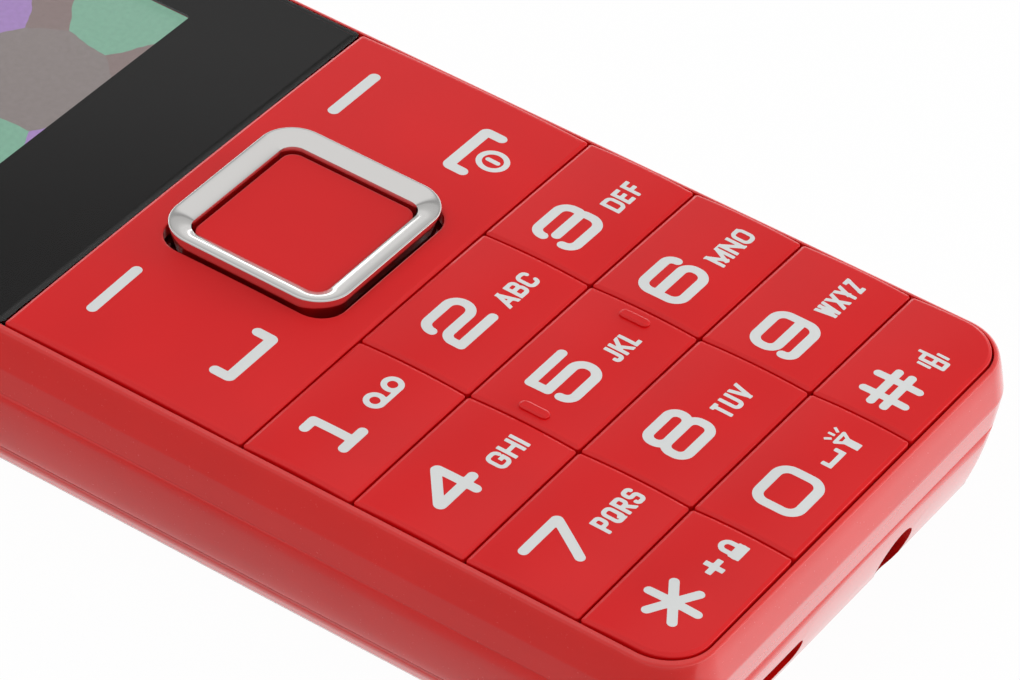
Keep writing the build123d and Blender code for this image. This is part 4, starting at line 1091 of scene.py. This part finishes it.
@dataclass
class KeySigns:
    """What is printed on each number key, measured from the top line of the number grid."""

    origin: float = FACE.grid_top
    shift: tuple[float, float] = (-0.2, -0.12)
    lettering: Lettering = Lettering()

    def small_word(self, text: str, left: float, right: float, row: int) -> list[Stroke]:
        """A word of small capitals beside a figure."""
        return self.lettering.word(text, left, right, -6.92 - row * FACE.key_pitch)

    def voicemail(self) -> list[Stroke]:
        """Two small reels on a line."""
        return [
            circle(-13.5, -4.98, 0.68, 0.5),
            circle(-11.15, -4.98, 0.68, 0.5),
            Stroke(((-13.6, -5.68), (-11.05, -5.68)), width=0.44),
        ]

    def plus_and_lock(self) -> list[Stroke]:
        """A plus sign and a padlock."""
        lock = Stroke(((-9.98, -35.5), (-9.98, -34.3), (-11.02, -34.3), (-11.02, -35.5)), (0, 0.52, 0.52, 0), 0.46, False, False)
        case = Stroke(((-11.38, -35.78), (-9.62, -35.78)), width=0.95, round_ends=False)
        return [
            Stroke(((-13.0, -34.35), (-13.0, -36.05)), width=0.52, round_ends=False),
            Stroke(((-13.95, -35.2), (-12.05, -35.2)), width=0.52, round_ends=False),
            lock,
            case,
        ]

    def space_and_torch(self) -> list[Stroke]:
        """A space mark and a small torch with three rays."""
        return [
            Stroke(((2.05, -35.3), (2.05, -36.05), (3.95, -36.05), (3.95, -35.3)), width=0.42, round_ends=False),
            Stroke(((4.62, -34.9), (6.0, -34.9), (5.62, -35.45), (5.0, -35.45)), width=0.3, closed=True),
            Stroke(((5.31, -35.5), (5.31, -36.75)), width=0.8, round_ends=False),
            Stroke(((4.5, -34.0), (4.85, -34.5)), width=0.26, round_ends=False),
            Stroke(((5.31, -33.9), (5.31, -34.5)), width=0.26, round_ends=False),
            Stroke(((6.14, -34.0), (5.77, -34.5)), width=0.26, round_ends=False),
        ]

    def vibrating_phone(self) -> list[Stroke]:
        """A small phone between two shake marks."""
        return [
            Stroke(((18.3, -34.9), (17.5, -34.9), (17.5, -36.9), (18.3, -36.9)), width=0.36, closed=True),
            Stroke(((17.5, -35.95), (18.3, -35.95)), width=0.34, round_ends=False),
            Stroke(((18.32, -34.9), (18.32, -34.25)), width=0.3, round_ends=False),
            Stroke(((17.0, -34.9), (17.0, -36.1)), width=0.3, round_ends=False),
            Stroke(((18.85, -35.6), (18.85, -36.7)), width=0.3, round_ends=False),
        ]

    def of(self, key: str) -> list[Stroke]:
        """The strokes printed on one key, in the phone's frame.

        Args:
            key: Node name of the key.

        Returns:
            The strokes, moved to where they are printed.
        """
        signs = {
            "key_1": Figure("1", -18.2, -4.45).strokes() + self.voicemail(),
            "key_2": Figure("2", -1.88, -4.6).strokes() + self.small_word("ABC", 2.05, 6.5, 0),
            "key_3": Figure("3", 13.42, -4.75).strokes() + self.small_word("DEF", 17.5, 21.65, 0),
            "key_4": Figure("4", -18.1, -14.75).strokes() + self.small_word("GHI", -13.95, -10.2, 1),
            "key_5": Figure("5", -2.05, -14.8).strokes() + self.small_word("JKL", 1.95, 5.5, 1),
            "key_6": Figure("6", 13.17, -14.87).strokes() + self.small_word("MNO", 17.1, 22.2, 1),
            "key_7": Figure("7", -18.1, -25.0).strokes() + self.small_word("PQRS", -14.85, -9.65, 2),
            "key_8": Figure("8", -2.1, -25.1).strokes() + self.small_word("TUV", 1.7, 5.7, 2),
            "key_9": Figure("9", 13.15, -25.2).strokes() + self.small_word("WXYZ", 17.2, 22.35, 2),
            "key_star": Figure("*", -18.07, -34.85).strokes() + self.plus_and_lock(),
            "key_0": Figure("0", -2.35, -35.08).strokes() + self.space_and_torch(),
            "key_hash": Figure("#", 12.78, -35.07).strokes() + self.vibrating_phone(),
        }[key]
        dx, dy = self.shift
        return [s.moved(dx, self.origin + dy) for s in signs]

    def of_plate(self) -> list[Stroke]:
        """The strokes on the function plate: two soft dashes, the call sign and the end sign."""
        signs = [
            Stroke(((-18.25, 18.22), (-12.5, 18.3)), width=0.92),
            Stroke(((13.85, 18.25), (19.65, 18.3)), width=1.0),
            Stroke(((-18.2, 6.55), (-18.2, 5.25), (-12.6, 5.25), (-12.6, 6.6)), (0, 0.12, 0.12, 0), 0.95),
            Stroke(((13.95, 5.75), (13.95, 7.12), (19.5, 7.12), (19.5, 5.7)), (0, 0.2, 0.2, 0), 0.98),
            circle(16.65, 4.6, 1.15, 0.5),
            Stroke(((16.65, 5.05), (16.65, 4.15)), width=0.46),
        ]
        dx, dy = self.shift
        return [s.moved(dx, self.origin + dy) for s in signs]


# Sub-assemblies


@dataclass
class Keypad:
    """Twelve separate number keys with crowned tops and printed signs."""

    names: tuple[tuple[str, str, str], ...] = (
        ("key_1", "key_2", "key_3"),
        ("key_4", "key_5", "key_6"),
        ("key_7", "key_8", "key_9"),
        ("key_star", "key_0", "key_hash"),
    )
    edge: float = 0.3
    small_corner: float = 0.3
    post: tuple[float, float] = (5.0, 3.5)
    post_low: float = 13.45
    bar_side: float = 7.0
    bar_size: tuple[float, float] = (1.0, 2.7)
    bar_rise: float = 0.22
    signs: KeySigns = field(default_factory=KeySigns)

    def plan(self, row: int, column: int) -> Plan:
        """Outline of one key inside its grooves; the outer keys of the last row follow the face's corner."""
        lines = (-FACE.half_width, -FACE.half_column, FACE.half_column, FACE.half_width)
        half = FACE.key_gap / 2
        low, high = FACE.row(row)
        x0 = lines[column] + (half if column else 0)
        x1 = lines[column + 1] - (half if column < 2 else 0)
        y0 = low + (half if row < 3 else 0)
        small = self.small_corner
        left = FACE.corner if (row, column) == (3, 0) else small
        right = FACE.corner if (row, column) == (3, 2) else small
        return Plan(x0, x1, y0, high - half, (small, small, left, right), 12, 8)

    def build_key(self, row: int, column: int, red: bpy.types.Material) -> bpy.types.Object:
        """Builds one key cap with its post, and the feel bars on the middle key.

        Args:
            row: Row from the top.
            column: Column from the left.
            red: Key plastic.

        Returns:
            The key's object.
        """
        name = self.names[row][column]
        low, high = FACE.row(row)
        top = FACE.crowned(low, high)
        skin = Skin()
        plan = self.plan(row, column)
        cap(skin, plan, FACE.cap_low, top, self.edge)
        lines = (-FACE.half_width, -FACE.half_column, FACE.half_column, FACE.half_width)
        x = (lines[column] + lines[column + 1]) / 2
        y = (low + high) / 2
        upright(skin, Plan.centred(*self.post, 0.5, y, x), self.post_low, FACE.cap_low + 0.2)
        if name == "key_5":
            for side in (-1, 1):
                bar = Plan.centred(*self.bar_size, 0.49, y, side * self.bar_side)
                cap(skin, bar, FACE.cap_low + 0.5, lambda x, y: top(x, y) + self.bar_rise, 0.2)
        made = skin.piece(name + "_cap", red, name)
        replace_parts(made, name)
        return made

    def print_signs(self, row: int, column: int, ink: bpy.types.Material) -> bpy.types.Object:
        """Prints one key's signs on its crowned top."""
        name = self.names[row][column]
        skin = Skin()
        print_ink(skin, self.signs.of(name), FACE.crowned(*FACE.row(row)))
        return skin.piece(name + "_signs", ink, name, sharp=60)

    def build(self, red: bpy.types.Material, ink: bpy.types.Material) -> None:
        """Builds all the keys and their signs."""
        for row in range(4):
            for column in range(3):
                key = self.build_key(row, column, red)
                self.print_signs(row, column, ink)
                LOG.info("key %s: %d faces", key.name, len(key.data.polygons))


@dataclass
class FunctionPlate:
    """One plate with the soft, call and end keys, open in the middle for the ring."""

    hole: tuple[float, float, float] = (17.72, 16.9, 2.5)
    edge: float = 0.3
    hole_edge: float = 0.12
    post_low: float = 13.45
    post_x: float = 16.175
    post_rows: tuple[float, float] = (-11.1, 1.3)
    signs: KeySigns = field(default_factory=KeySigns)

    def build(self, red: bpy.types.Material, ink: bpy.types.Material) -> None:
        """Builds the plate and prints its signs."""
        half = FACE.key_gap / 2
        low, high = FACE.grid_top, FACE.nav_top
        top = FACE.crowned(low, high)
        plan = Plan(-FACE.half_width, FACE.half_width, low + half, high - half, (0.3,) * 4, 14, 22)
        hole = Plan.centred(*self.hole, FACE.nav_middle)
        hole = Plan(hole.x0, hole.x1, hole.y0, hole.y1, hole.radii, 14, 22)
        skin = Skin()
        holed_cap(skin, plan, hole, FACE.cap_low, top, self.edge, self.hole_edge)
        for side in (-1, 1):
            for y in self.post_rows:
                upright(skin, Plan.centred(5.0, 3.5, 0.5, y, side * self.post_x), self.post_low, FACE.cap_low + 0.2)
        made = skin.piece("plate_of_function_keys", red, Body.PLATE.value)
        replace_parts(made, "function_plate")
        printed = Skin()
        print_ink(printed, self.signs.of_plate(), top)
        printed.piece("plate_signs", ink, Body.PLATE.value, sharp=60)
        LOG.info("function plate: %d faces", len(made.data.polygons))


@dataclass
class NavCluster:
    """Chrome four-way ring with a dished band, and the centre key inside it."""

    width: float = 17.84
    length: float = 16.8
    corner: float = 3.2
    band: float = 1.88
    neck: float = 0.3
    rise: float = 1.3
    dish: float = 0.55
    edge: float = 0.14
    flange_low: float = 12.95
    flange_top: float = 13.4
    nub_throw: float = 7.4
    nub_low: float = 11.84
    ok_gap: float = 0.28
    ok_drop: float = 0.45
    ok_post_low: float = 12.0

    def band_profile(self) -> Array:
        """Closed profile of the ring: inset from its upper outline, and height.

        The outer wall rises straight through the plate and leans outwards
        above it, the outer edge is a quarter circle, and the band falls ever
        more steeply to its inner edge, as its share of the way to the power
        1.6.

        Returns:
            Rows of inset and height.
        """
        top = FACE.key_top + self.rise
        turn = np.linspace(0, math.pi / 2, 7)
        outer = np.column_stack([0.02 + self.edge * (1 - np.cos(turn)), top - self.edge * (1 - np.sin(turn))])
        share = np.linspace(0.05, 1, 16)
        start, end = 0.02 + self.edge, self.band - 0.1
        hollow = np.column_stack([start + share * (end - start), top - share**1.6 * self.dish])
        inner = np.array([[self.band - 0.03, top - self.dish - 0.04], [self.band, top - self.dish - 0.12]])
        reach = self.neck - 1.18
        foot = np.array(
            [
                [self.band, self.flange_low],
                [reach, self.flange_low],
                [reach, self.flange_top],
                [self.neck, self.flange_top],
                [self.neck, FACE.key_top + 0.05],
            ]
        )
        return np.vstack([outer, hollow, inner, foot])

    def build(self, chrome: bpy.types.Material, red: bpy.types.Material) -> None:
        """Builds the ring with its nubs, and the centre key with its post."""
        plan = Plan.centred(self.width, self.length, self.corner, FACE.nav_middle)
        plan = Plan(plan.x0, plan.x1, plan.y0, plan.y1, plan.radii, 20, 8)
        ring = Skin()
        carried(ring, plan, self.band_profile())
        for side in (-1, 1):
            y = FACE.nav_middle + side * self.nub_throw
            upright(ring, Plan.centred(1.8, 1.8, 0.9, y), self.nub_low, self.flange_low + 0.1)
            upright(ring, Plan.centred(4.8, 1.8, 0.2, y), self.flange_low, self.flange_top)
        made = ring.piece("four_way_ring", chrome, Body.RING.value)
        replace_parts(made, "nav_ring")
        top = FACE.key_top + self.rise - self.dish - self.ok_drop
        key = Skin()
        inner = Plan.centred(
            self.width - 2 * (self.band + self.ok_gap),
            self.length - 2 * (self.band + self.ok_gap),
            self.corner - self.band - self.ok_gap / 2,
            FACE.nav_middle,
        )
        cap(key, inner, FACE.cap_low + 0.05, lambda x, y: top + 0 * x * y, 0.18)
        upright(key, Plan.centred(2.8, 2.8, 1.39, FACE.nav_middle), self.ok_post_low, FACE.cap_low + 0.3)
        centre = key.piece("centre_key", red, Body.OK.value)
        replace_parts(centre, "ok_key")
        LOG.info("ring: %d faces, centre key: %d faces", len(made.data.polygons), len(centre.data.polygons))


@dataclass
class Window:
    """Clear window, the display behind it and the signs on the display."""

    inset: float = 0.08
    low: float = 13.6
    slot: tuple[float, float] = (10.5, 1.7)
    slot_y: float = 51.95
    picture_top: float = 12.99
    picture: tuple[float, float, float, float] = (-17.75, 17.75, 18.5, 47.0)
    mask: tuple[float, float] = (13.46, 13.62)
    mask_opening: tuple[float, float, float, float] = (-17.35, 17.35, 18.9, 46.6)
    mask_split: float = 49.5

    def build_mask(self, slot: Plan, black: bpy.types.Material) -> bpy.types.Object:
        """Builds the black print under the window: a frame round the picture and a strip round the slot."""
        low, high = self.mask
        side = FACE.half_width + self.inset - 0.02
        corner = FACE.corner + self.inset - 0.02
        opening = Plan(*self.mask_opening, (0.4,) * 4, 14, 16)
        skin = Skin()
        frame = Plan(-side, side, FACE.nav_top + 0.12, self.mask_split, (0.02, 0.02, 0.5, 0.5), 14, 16)
        holed_cap(skin, frame, opening, low, lambda x, y: high + 0 * x, 0.01, 0.01)
        strip = Plan(-side, side, self.mask_split, FACE.head + self.inset - 0.02, (corner, corner, 0.02, 0.02), 14, 16)
        holed_cap(skin, strip, slot, low, lambda x, y: high + 0 * x, 0.01, 0.01)
        return skin.piece("window_print", black, Body.PHONE.value)

    def build(
        self, clear: bpy.types.Material, black: bpy.types.Material, lit: bpy.types.Material, glow: bpy.types.Material
    ) -> None:
        """Builds the window, its black print, the lit picture and its status signs."""
        head = FACE.corner + self.inset
        plan = Plan(
            -FACE.half_width - self.inset,
            FACE.half_width + self.inset,
            FACE.nav_top + 0.1,
            FACE.head + self.inset,
            (head, head, 0.5, 0.5),
            14,
            16,
        )
        slot = Plan.centred(*self.slot, self.slot[1] * 0.49, self.slot_y)
        slot = Plan(slot.x0, slot.x1, slot.y0, slot.y1, slot.radii, 14, 16)
        glass = Skin()
        holed_cap(glass, plan, slot, self.low, lambda x, y: FACE.rim_top + 0 * x, 0.06, 0.06)
        made = glass.piece("clear_window", clear, Body.PHONE.value)
        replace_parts(made, "window_lens")
        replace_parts(self.build_mask(slot, black), "window_adhesive")
        x0, x1, y0, y1 = self.picture
        screen = Skin()
        upright(screen, Plan(x0, x1, y0, y1, (0.2,) * 4), self.picture_top - 0.01, self.picture_top)
        screen.piece("lit_picture", lit, Body.PHONE.value)
        signs = Skin()
        print_ink(signs, self.status_signs(), lambda x, y: self.picture_top + 0 * x, 0.07, 0.012, 0.004)
        signs.piece("status_signs", glow, Body.PHONE.value, sharp=60)
        LOG.info("window: %d faces", len(made.data.polygons))

    def status_signs(self) -> list[Stroke]:
        """Signal bars, a battery and a clock, as any display of this kind shows."""
        top = self.picture[3] - 1.4
        bars = [Stroke(((-13.6 + 0.8 * i, top - 1.6), (-13.6 + 0.8 * i, top - 1.6 + 0.35 * (i + 1))), width=0.5, round_ends=False) for i in range(5)]
        case = Stroke(((13.4, top), (10.4, top), (10.4, top - 1.5), (13.4, top - 1.5)), width=0.22, closed=True)
        charge = Stroke(((10.9, top - 0.75), (12.9, top - 0.75)), width=0.9, round_ends=False)
        clock: list[Stroke] = []
        for sign, x in (("1", -6.0), ("0", -2.9), ("0", 2.6), ("8", 6.2)):
            clock += [Stroke(s.points, tuple(r * 0.55 for r in s.radii), 0.5, s.closed, True).moved(x, top - 9.0, 1.25, 1.9) for s in FIGURES[sign]]
        dots = [Stroke(((-0.2, top - 9.0 + s), (0.15, top - 9.0 + s)), width=0.5, round_ends=False) for s in (-0.8, 0.8)]
        return bars + [case, charge] + clock + dots


@dataclass
class Housing:
    """Front and rear halves of the case and the battery cover."""

    stations: tuple[tuple[float, float], ...] = (
        (8.75, 1.10),
        (10.04, 1.23),
        (11.38, 1.35),
        (12.73, 1.07),
        (14.13, 0.71),
        (14.60, 0.50),
    )
    proud: float = 0.015
    edge: float = 0.47
    lean: float = 0.28
    foot: float = 8.76
    back_shift: tuple[tuple[float, float], ...] = (
        (0.0, 0.63),
        (0.05, 0.52),
        (0.15, 0.40),
        (0.35, 0.27),
        (0.6, 0.15),
        (0.82, 0.09),
        (1.4, 0.07),
        (1.97, 0.10),
        (1.99, 0.20),
        (3.2, 0.14),
        (5.0, 0.0),
    )
    lip: float = 0.165

    def outer_line(self, heights: Array) -> Array:
        """How far the side swells beyond the face outline at given heights.

        A cubic Hermite curve through the stations, whose slope at each one is
        the mean of the slopes on either side. At the widest one the slope
        changes at once, so that a soft crease runs round the case.

        Args:
            heights: Heights to read.

        Returns:
            The swell at each height.
        """
        z, swell = np.array(self.stations).T
        slopes = np.diff(swell) / np.diff(z)
        ends = np.concatenate([[slopes[0]], (slopes[:-1] + slopes[1:]) / 2, [slopes[-1]]])
        leaving, arriving = ends.copy(), ends.copy()
        widest = int(np.argmax(swell))
        arriving[widest], leaving[widest] = slopes[widest - 1], slopes[widest]
        index = np.clip(np.searchsorted(z, heights, side="right") - 1, 0, len(z) - 2)
        span = z[index + 1] - z[index]
        t = (heights - z[index]) / span
        return (
            swell[index] * (2 * t**3 - 3 * t**2 + 1)
            + span * leaving[index] * (t**3 - 2 * t**2 + t)
            + swell[index + 1] * (3 * t**2 - 2 * t**3)
            + span * arriving[index + 1] * (t**3 - t**2)
        )

    def wall_profile(self) -> Array:
        """Closed profile of the front half's wall: inset from the face outline, and height."""
        low, high = self.foot, FACE.rim_top + 0.01
        shoulder = high - self.edge * (1 - math.sin(self.lean))
        heights = np.linspace(low, shoulder, 40)
        side = np.column_stack([-self.outer_line(heights) - self.proud, heights])
        foot = np.array([[side[0, 0] + 0.4, low]])
        crest_x = side[-1, 0]
        turn = np.linspace(self.lean, math.pi / 2, 9)[1:]
        crest = np.column_stack(
            [crest_x + self.edge * (math.cos(self.lean) - np.cos(turn)), high - self.edge * (1 - np.sin(turn))]
        )
        inner_turn = np.linspace(math.pi / 2, 0, 5)
        inner = np.column_stack(
            [-self.lip - 0.07 * (1 - np.cos(inner_turn)), high - 0.07 * (1 - np.sin(inner_turn))]
        )
        inside = np.array([[-self.lip, 13.4], [-0.55, 13.2], [-0.7, 9.4]])
        return np.vstack([foot, side, crest, inner, inside])

    def tuck(self, mesh: bpy.types.Mesh) -> None:
        """Draws a copied shell's outside in a little, so that the carried wall covers it.

        Points that lie outside the face outline by more than 0.3 mm move in by
        0.12 mm, and the ones on the rim move down by 0.1 mm.

        Args:
            mesh: Copy of the front half, in metres.
        """
        points = np.empty(len(mesh.vertices) * 3)
        mesh.vertices.foreach_get("co", points)
        points = points.reshape(-1, 3) / MM
        core = np.array([FACE.half_width - FACE.corner, FACE.head - FACE.corner])
        away = points[:, :2] - np.clip(points[:, :2], -core, core)
        reach = np.linalg.norm(away, axis=1)
        outside = (reach - FACE.corner > 0.3) & (points[:, 2] > 8.2)
        shrink = np.where(outside, (reach - 0.12) / np.maximum(reach, 0.001), 1.0)
        points[:, :2] += away * (shrink - 1)[:, None]
        points[:, 2] -= np.where(points[:, 2] > FACE.rim_top - 0.05, 0.1, 0.0)
        mesh.vertices.foreach_set("co", (points * MM).ravel())
        mesh.update()

    def fill_back(self, mesh: bpy.types.Mesh) -> None:
        """Fills out the sides of a copied shell towards the back, which end in a smaller round.

        A point moves outwards along X by the shift at its height, times a
        smooth step over the last 5 mm to the side.

        Args:
            mesh: Copy of the rear half or the cover, in metres.
        """
        points = np.empty(len(mesh.vertices) * 3)
        mesh.vertices.foreach_get("co", points)
        points = points.reshape(-1, 3) / MM
        shift = np.interp(points[:, 2], *np.array(self.back_shift).T)
        out = np.clip((np.abs(points[:, 0]) - FACE.half_width + 6.5) / 5, 0, 1)
        points[:, 0] += np.sign(points[:, 0]) * shift * out**2 * (3 - 2 * out)
        mesh.vertices.foreach_set("co", (points * MM).ravel())
        mesh.update()

    def build(self, red: bpy.types.Material, cover_red: bpy.types.Material) -> None:
        """Builds the three shells."""
        plan = Plan(-FACE.half_width, FACE.half_width, FACE.foot, FACE.head, (FACE.corner,) * 4, 24, 24)
        wall = Skin()
        carried(wall, plan, self.wall_profile())
        made = wall.piece("front_wall", red, Body.PHONE.value, sharp=50)
        inner = merged_copy("front_housing", "front_shell", red, Body.PHONE.value)
        self.tuck(inner.data)
        rear = merged_copy("rear_housing", "rear_shell", red, Body.PHONE.value)
        cover = merged_copy("back_cover", "battery_cover", cover_red, Body.COVER.value)
        self.fill_back(rear.data)
        self.fill_back(cover.data)
        for shell in (inner, rear, cover):
            even_normals(shell)
        LOG.info("housing: %d wall faces", len(made.data.polygons))


@dataclass
class Insides:
    """The solids inside, which keep their CAD meshes and get their finishes."""

    finishes: dict[str, object] = field(default_factory=lambda: INNER_FINISHES)

    def dress(self, frame: dict) -> None:
        """Gives each remaining CAD node the finish of its slot.
        """
        made: dict[str, bpy.types.Material] = {}
        slots = {part["node"]: part["material_slot"] for part in frame["record"]["subparts"]}
        red = SHELL_RED.material()
        for name, node in frame["nodes"].items():
            slot = slots[name]
            if slot not in made:
                made[slot] = self.finishes[slot].material() if slot in self.finishes else red
            if not node.material_slots:
                node.data.materials.append(made[slot])
            for entry in node.material_slots:
                entry.material = made[slot]
        LOG.info("dressed %d nodes in %d finishes", len(frame["nodes"]), len(made))


@dataclass
class Studio:
    """Camera, pale table and soft light."""

    place: tuple[float, float, float] = (-281.914, -188.031, 285.44)
    right: tuple[float, float, float] = (0.5567, -0.8268, 0.0806)
    up: tuple[float, float, float] = (0.4982, 0.4100, 0.7640)
    back: tuple[float, float, float] = (-0.6647, -0.3852, 0.6402)
    lens: float = 193.73
    dome: tuple[tuple[float, float], ...] = (
        (0.0, 2.3),
        (0.08, 2.3),
        (0.12, 0.8),
        (0.30, 0.8),
        (0.42, 0.62),
        (0.56, 0.55),
        (0.605, 0.55),
        (0.63, 0.36),
        (0.66, 0.33),
        (0.72, 0.82),
    )
    left: float = 0.38
    floor: tuple[tuple[float, float], ...] = ((-60.0, 0.2), (-28.0, 0.3), (-24.7, 0.45), (-23.9, 1.0))
    key_power: float = 1.3
    strip_power: float = 5.0
    back_power: float = 1.7

    def camera(self) -> None:
        """Sets the camera where the photograph was taken from."""
        data = bpy.data.cameras.new("camera")
        data.lens, data.sensor_width, data.sensor_fit = self.lens, 36.0, "HORIZONTAL"
        data.clip_start, data.clip_end = 0.01, 20.0
        made = bpy.data.objects.new("camera", data)
        bpy.context.scene.collection.objects.link(made)
        turn = Matrix((self.right, self.up, self.back)).transposed().to_4x4()
        made.matrix_world = Matrix.Translation(Vector(self.place) * MM) @ turn
        bpy.context.scene.camera = made

    def softbox(
        self,
        name: str,
        toward: tuple[float, float, float],
        distance: float,
        size: tuple[float, float],
        power: float,
    ) -> None:
        """Hangs a soft light that faces the phone and that shiny surfaces don't mirror.

        Args:
            name: Light's name.
            toward: Direction from the phone to the light.
            distance: Metres away.
            size: Metres wide and high.
            power: Watts.
        """
        data = bpy.data.lights.new(name, "AREA")
        data.shape = "RECTANGLE"
        data.energy, data.size, data.size_y = power, *size
        made = bpy.data.objects.new(name, data)
        bpy.context.scene.collection.objects.link(made)
        way = Vector(toward).normalized()
        made.visible_glossy = made.visible_transmission = False
        made.location = way * distance
        made.rotation_euler = way.to_track_quat("Z", "Y").to_euler()

    def sky(self) -> None:
        """Lights the scene from a pale dome; the camera sees plain white.

        The dome's level follows its height: bright low down and overhead, with
        a darker band between. Towards the horizon it also fades from the right
        (+X) to the left, as in a room lit from one side.
        """
        world = bpy.data.worlds.new("studio")
        bpy.context.scene.world = world
        world.use_nodes = True
        tree = world.node_tree
        tree.nodes.clear()
        way = add_node(tree, "ShaderNodeTexCoord")
        split = add_node(tree, "ShaderNodeSeparateXYZ", links={"Vector": way.outputs["Generated"]})
        height = add_node(tree, "ShaderNodeMapRange", {"From Min": -1.0, "From Max": 1.0}, {"Value": split.outputs["Z"]})
        ramp = add_node(
            tree,
            "ShaderNodeValToRGB",
            {"stops": [((z + 1) / 2, (level, level, level, 1)) for z, level in self.dome]},
            {"Fac": height.outputs["Result"]},
        )
        low = add_node(
            tree, "ShaderNodeMapRange", {"From Min": 0.1, "From Max": 0.45, "To Min": 1.0, "To Max": 0.0}, {"Value": split.outputs["Z"]}
        )
        left = add_node(
            tree, "ShaderNodeMapRange", {"From Min": 0.3, "From Max": -0.8, "To Min": 0.0, "To Max": 1.0 - self.left}, {"Value": split.outputs["X"]}
        )
        fade = add_node(tree, "ShaderNodeMath", {"operation": "MULTIPLY"})
        tree.links.new(low.outputs["Result"], fade.inputs[0])
        tree.links.new(left.outputs["Result"], fade.inputs[1])
        level = add_node(tree, "ShaderNodeMath", {"operation": "SUBTRACT", 0: 1.0})
        tree.links.new(fade.outputs["Value"], level.inputs[1])
        dome = add_node(
            tree, "ShaderNodeBackground", links={"Color": ramp.outputs["Color"], "Strength": level.outputs["Value"]}
        )
        white = add_node(tree, "ShaderNodeBackground", {"Color": (1, 1, 1, 1), "Strength": 1.0})
        ray = add_node(tree, "ShaderNodeLightPath")
        mix = add_node(tree, "ShaderNodeMixShader", links={"Fac": ray.outputs["Is Camera Ray"]})
        tree.links.new(dome.outputs["Background"], mix.inputs[1])
        tree.links.new(white.outputs["Background"], mix.inputs[2])
        out = tree.nodes.new("ShaderNodeOutputWorld")
        tree.links.new(mix.outputs["Shader"], out.inputs["Surface"])

    def table(self) -> None:
        """Lays the pale table: white to the camera, with the phone's faint shadow.

        In reflections it is as bright at the right and fades to the left, over
        the phone's width.
        """
        made, tree, out = start_material("pale_table")
        place = add_node(tree, "ShaderNodeTexCoord").outputs["Object"]
        grain = add_node(tree, "ShaderNodeTexNoise", {"Scale": 1 / (0.8 * MM)}, {"Vector": place})
        tone = add_node(
            tree,
            "ShaderNodeValToRGB",
            {"stops": [(0.0, (0.86, 0.86, 0.86, 1)), (1.0, (0.9, 0.9, 0.9, 1))]},
            {"Fac": grain.outputs["Fac"]},
        )
        paper = add_node(tree, "ShaderNodeBsdfDiffuse", links={"Color": tone.outputs["Color"]})
        ray = add_node(tree, "ShaderNodeLightPath")
        split = add_node(tree, "ShaderNodeSeparateXYZ", links={"Vector": place})
        across = add_node(
            tree,
            "ShaderNodeMapRange",
            {"From Min": self.floor[0][0] * MM, "From Max": 0.0},
            {"Value": split.outputs["X"]},
        )
        fade = add_node(
            tree,
            "ShaderNodeValToRGB",
            {"stops": [(1 - x / self.floor[0][0], (share, share, share, 1)) for x, share in self.floor]},
            {"Fac": across.outputs["Result"]},
        )
        level = add_node(tree, "ShaderNodeMath", {"operation": "MAXIMUM"})
        tree.links.new(ray.outputs["Is Camera Ray"], level.inputs[0])
        tree.links.new(fade.outputs["Color"], level.inputs[1])
        glow = add_node(tree, "ShaderNodeEmission", {"Color": (1, 1, 1, 1)}, {"Strength": level.outputs["Value"]})
        seen = add_node(tree, "ShaderNodeMath", {"operation": "MAXIMUM"})
        tree.links.new(ray.outputs["Is Camera Ray"], seen.inputs[0])
        tree.links.new(ray.outputs["Is Glossy Ray"], seen.inputs[1])
        part = add_node(tree, "ShaderNodeMath", {"operation": "MULTIPLY", 1: 0.97})
        tree.links.new(seen.outputs["Value"], part.inputs[0])
        mix = add_node(tree, "ShaderNodeMixShader", links={"Fac": part.outputs["Value"]})
        tree.links.new(paper.outputs["BSDF"], mix.inputs[1])
        tree.links.new(glow.outputs["Emission"], mix.inputs[2])
        tree.links.new(mix.outputs["Shader"], out.inputs["Surface"])
        mesh = bpy.data.meshes.new("table")
        half = 3.0
        low = -0.03 * MM
        mesh.from_pydata([(-half, -half, low), (half, -half, low), (half, half, low), (-half, half, low)], [], [(0, 1, 2, 3)])
        mesh.materials.append(made)
        floor = bpy.data.objects.new("table", mesh)
        bpy.context.scene.collection.objects.link(floor)

    def build(self) -> None:
        """Builds the whole studio."""
        self.camera()
        self.sky()
        self.table()
        self.softbox("key_light", (-0.35, 0.25, 0.9), 0.8, (0.5, 0.5), self.key_power)
        self.softbox("strip_light", (0.66, -0.74, 0.16), 0.9, (0.6, 0.6), self.strip_power)
        self.softbox("back_light", (0.67, 0.72, 0.1), 1.0, (0.8, 0.3), self.back_power)
        bpy.context.scene.view_settings.view_transform = "Standard"
        LOG.info("studio ready")


def main() -> None:
    """Loads the frame and builds each sub-assembly in order."""
    logging.basicConfig(level=logging.INFO, format="%(name)s: %(message)s")
    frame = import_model()
    Studio().build()
    Insides().dress(frame)
    shell, key, ink = SHELL_RED.material(), KEY_RED.material(), LEGEND_INK.material()
    Housing().build(shell, COVER_RED_PAINTED_LIGHTER.material())
    Keypad().build(key, ink)
    FunctionPlate().build(key, ink)
    NavCluster().build(CHROME.material(), key)
    Window().build(WINDOW.material(), WINDOW_PRINT.material(), PICTURE.material(), ICON_GLOW.material())


if __name__ == "__main__":
    main()
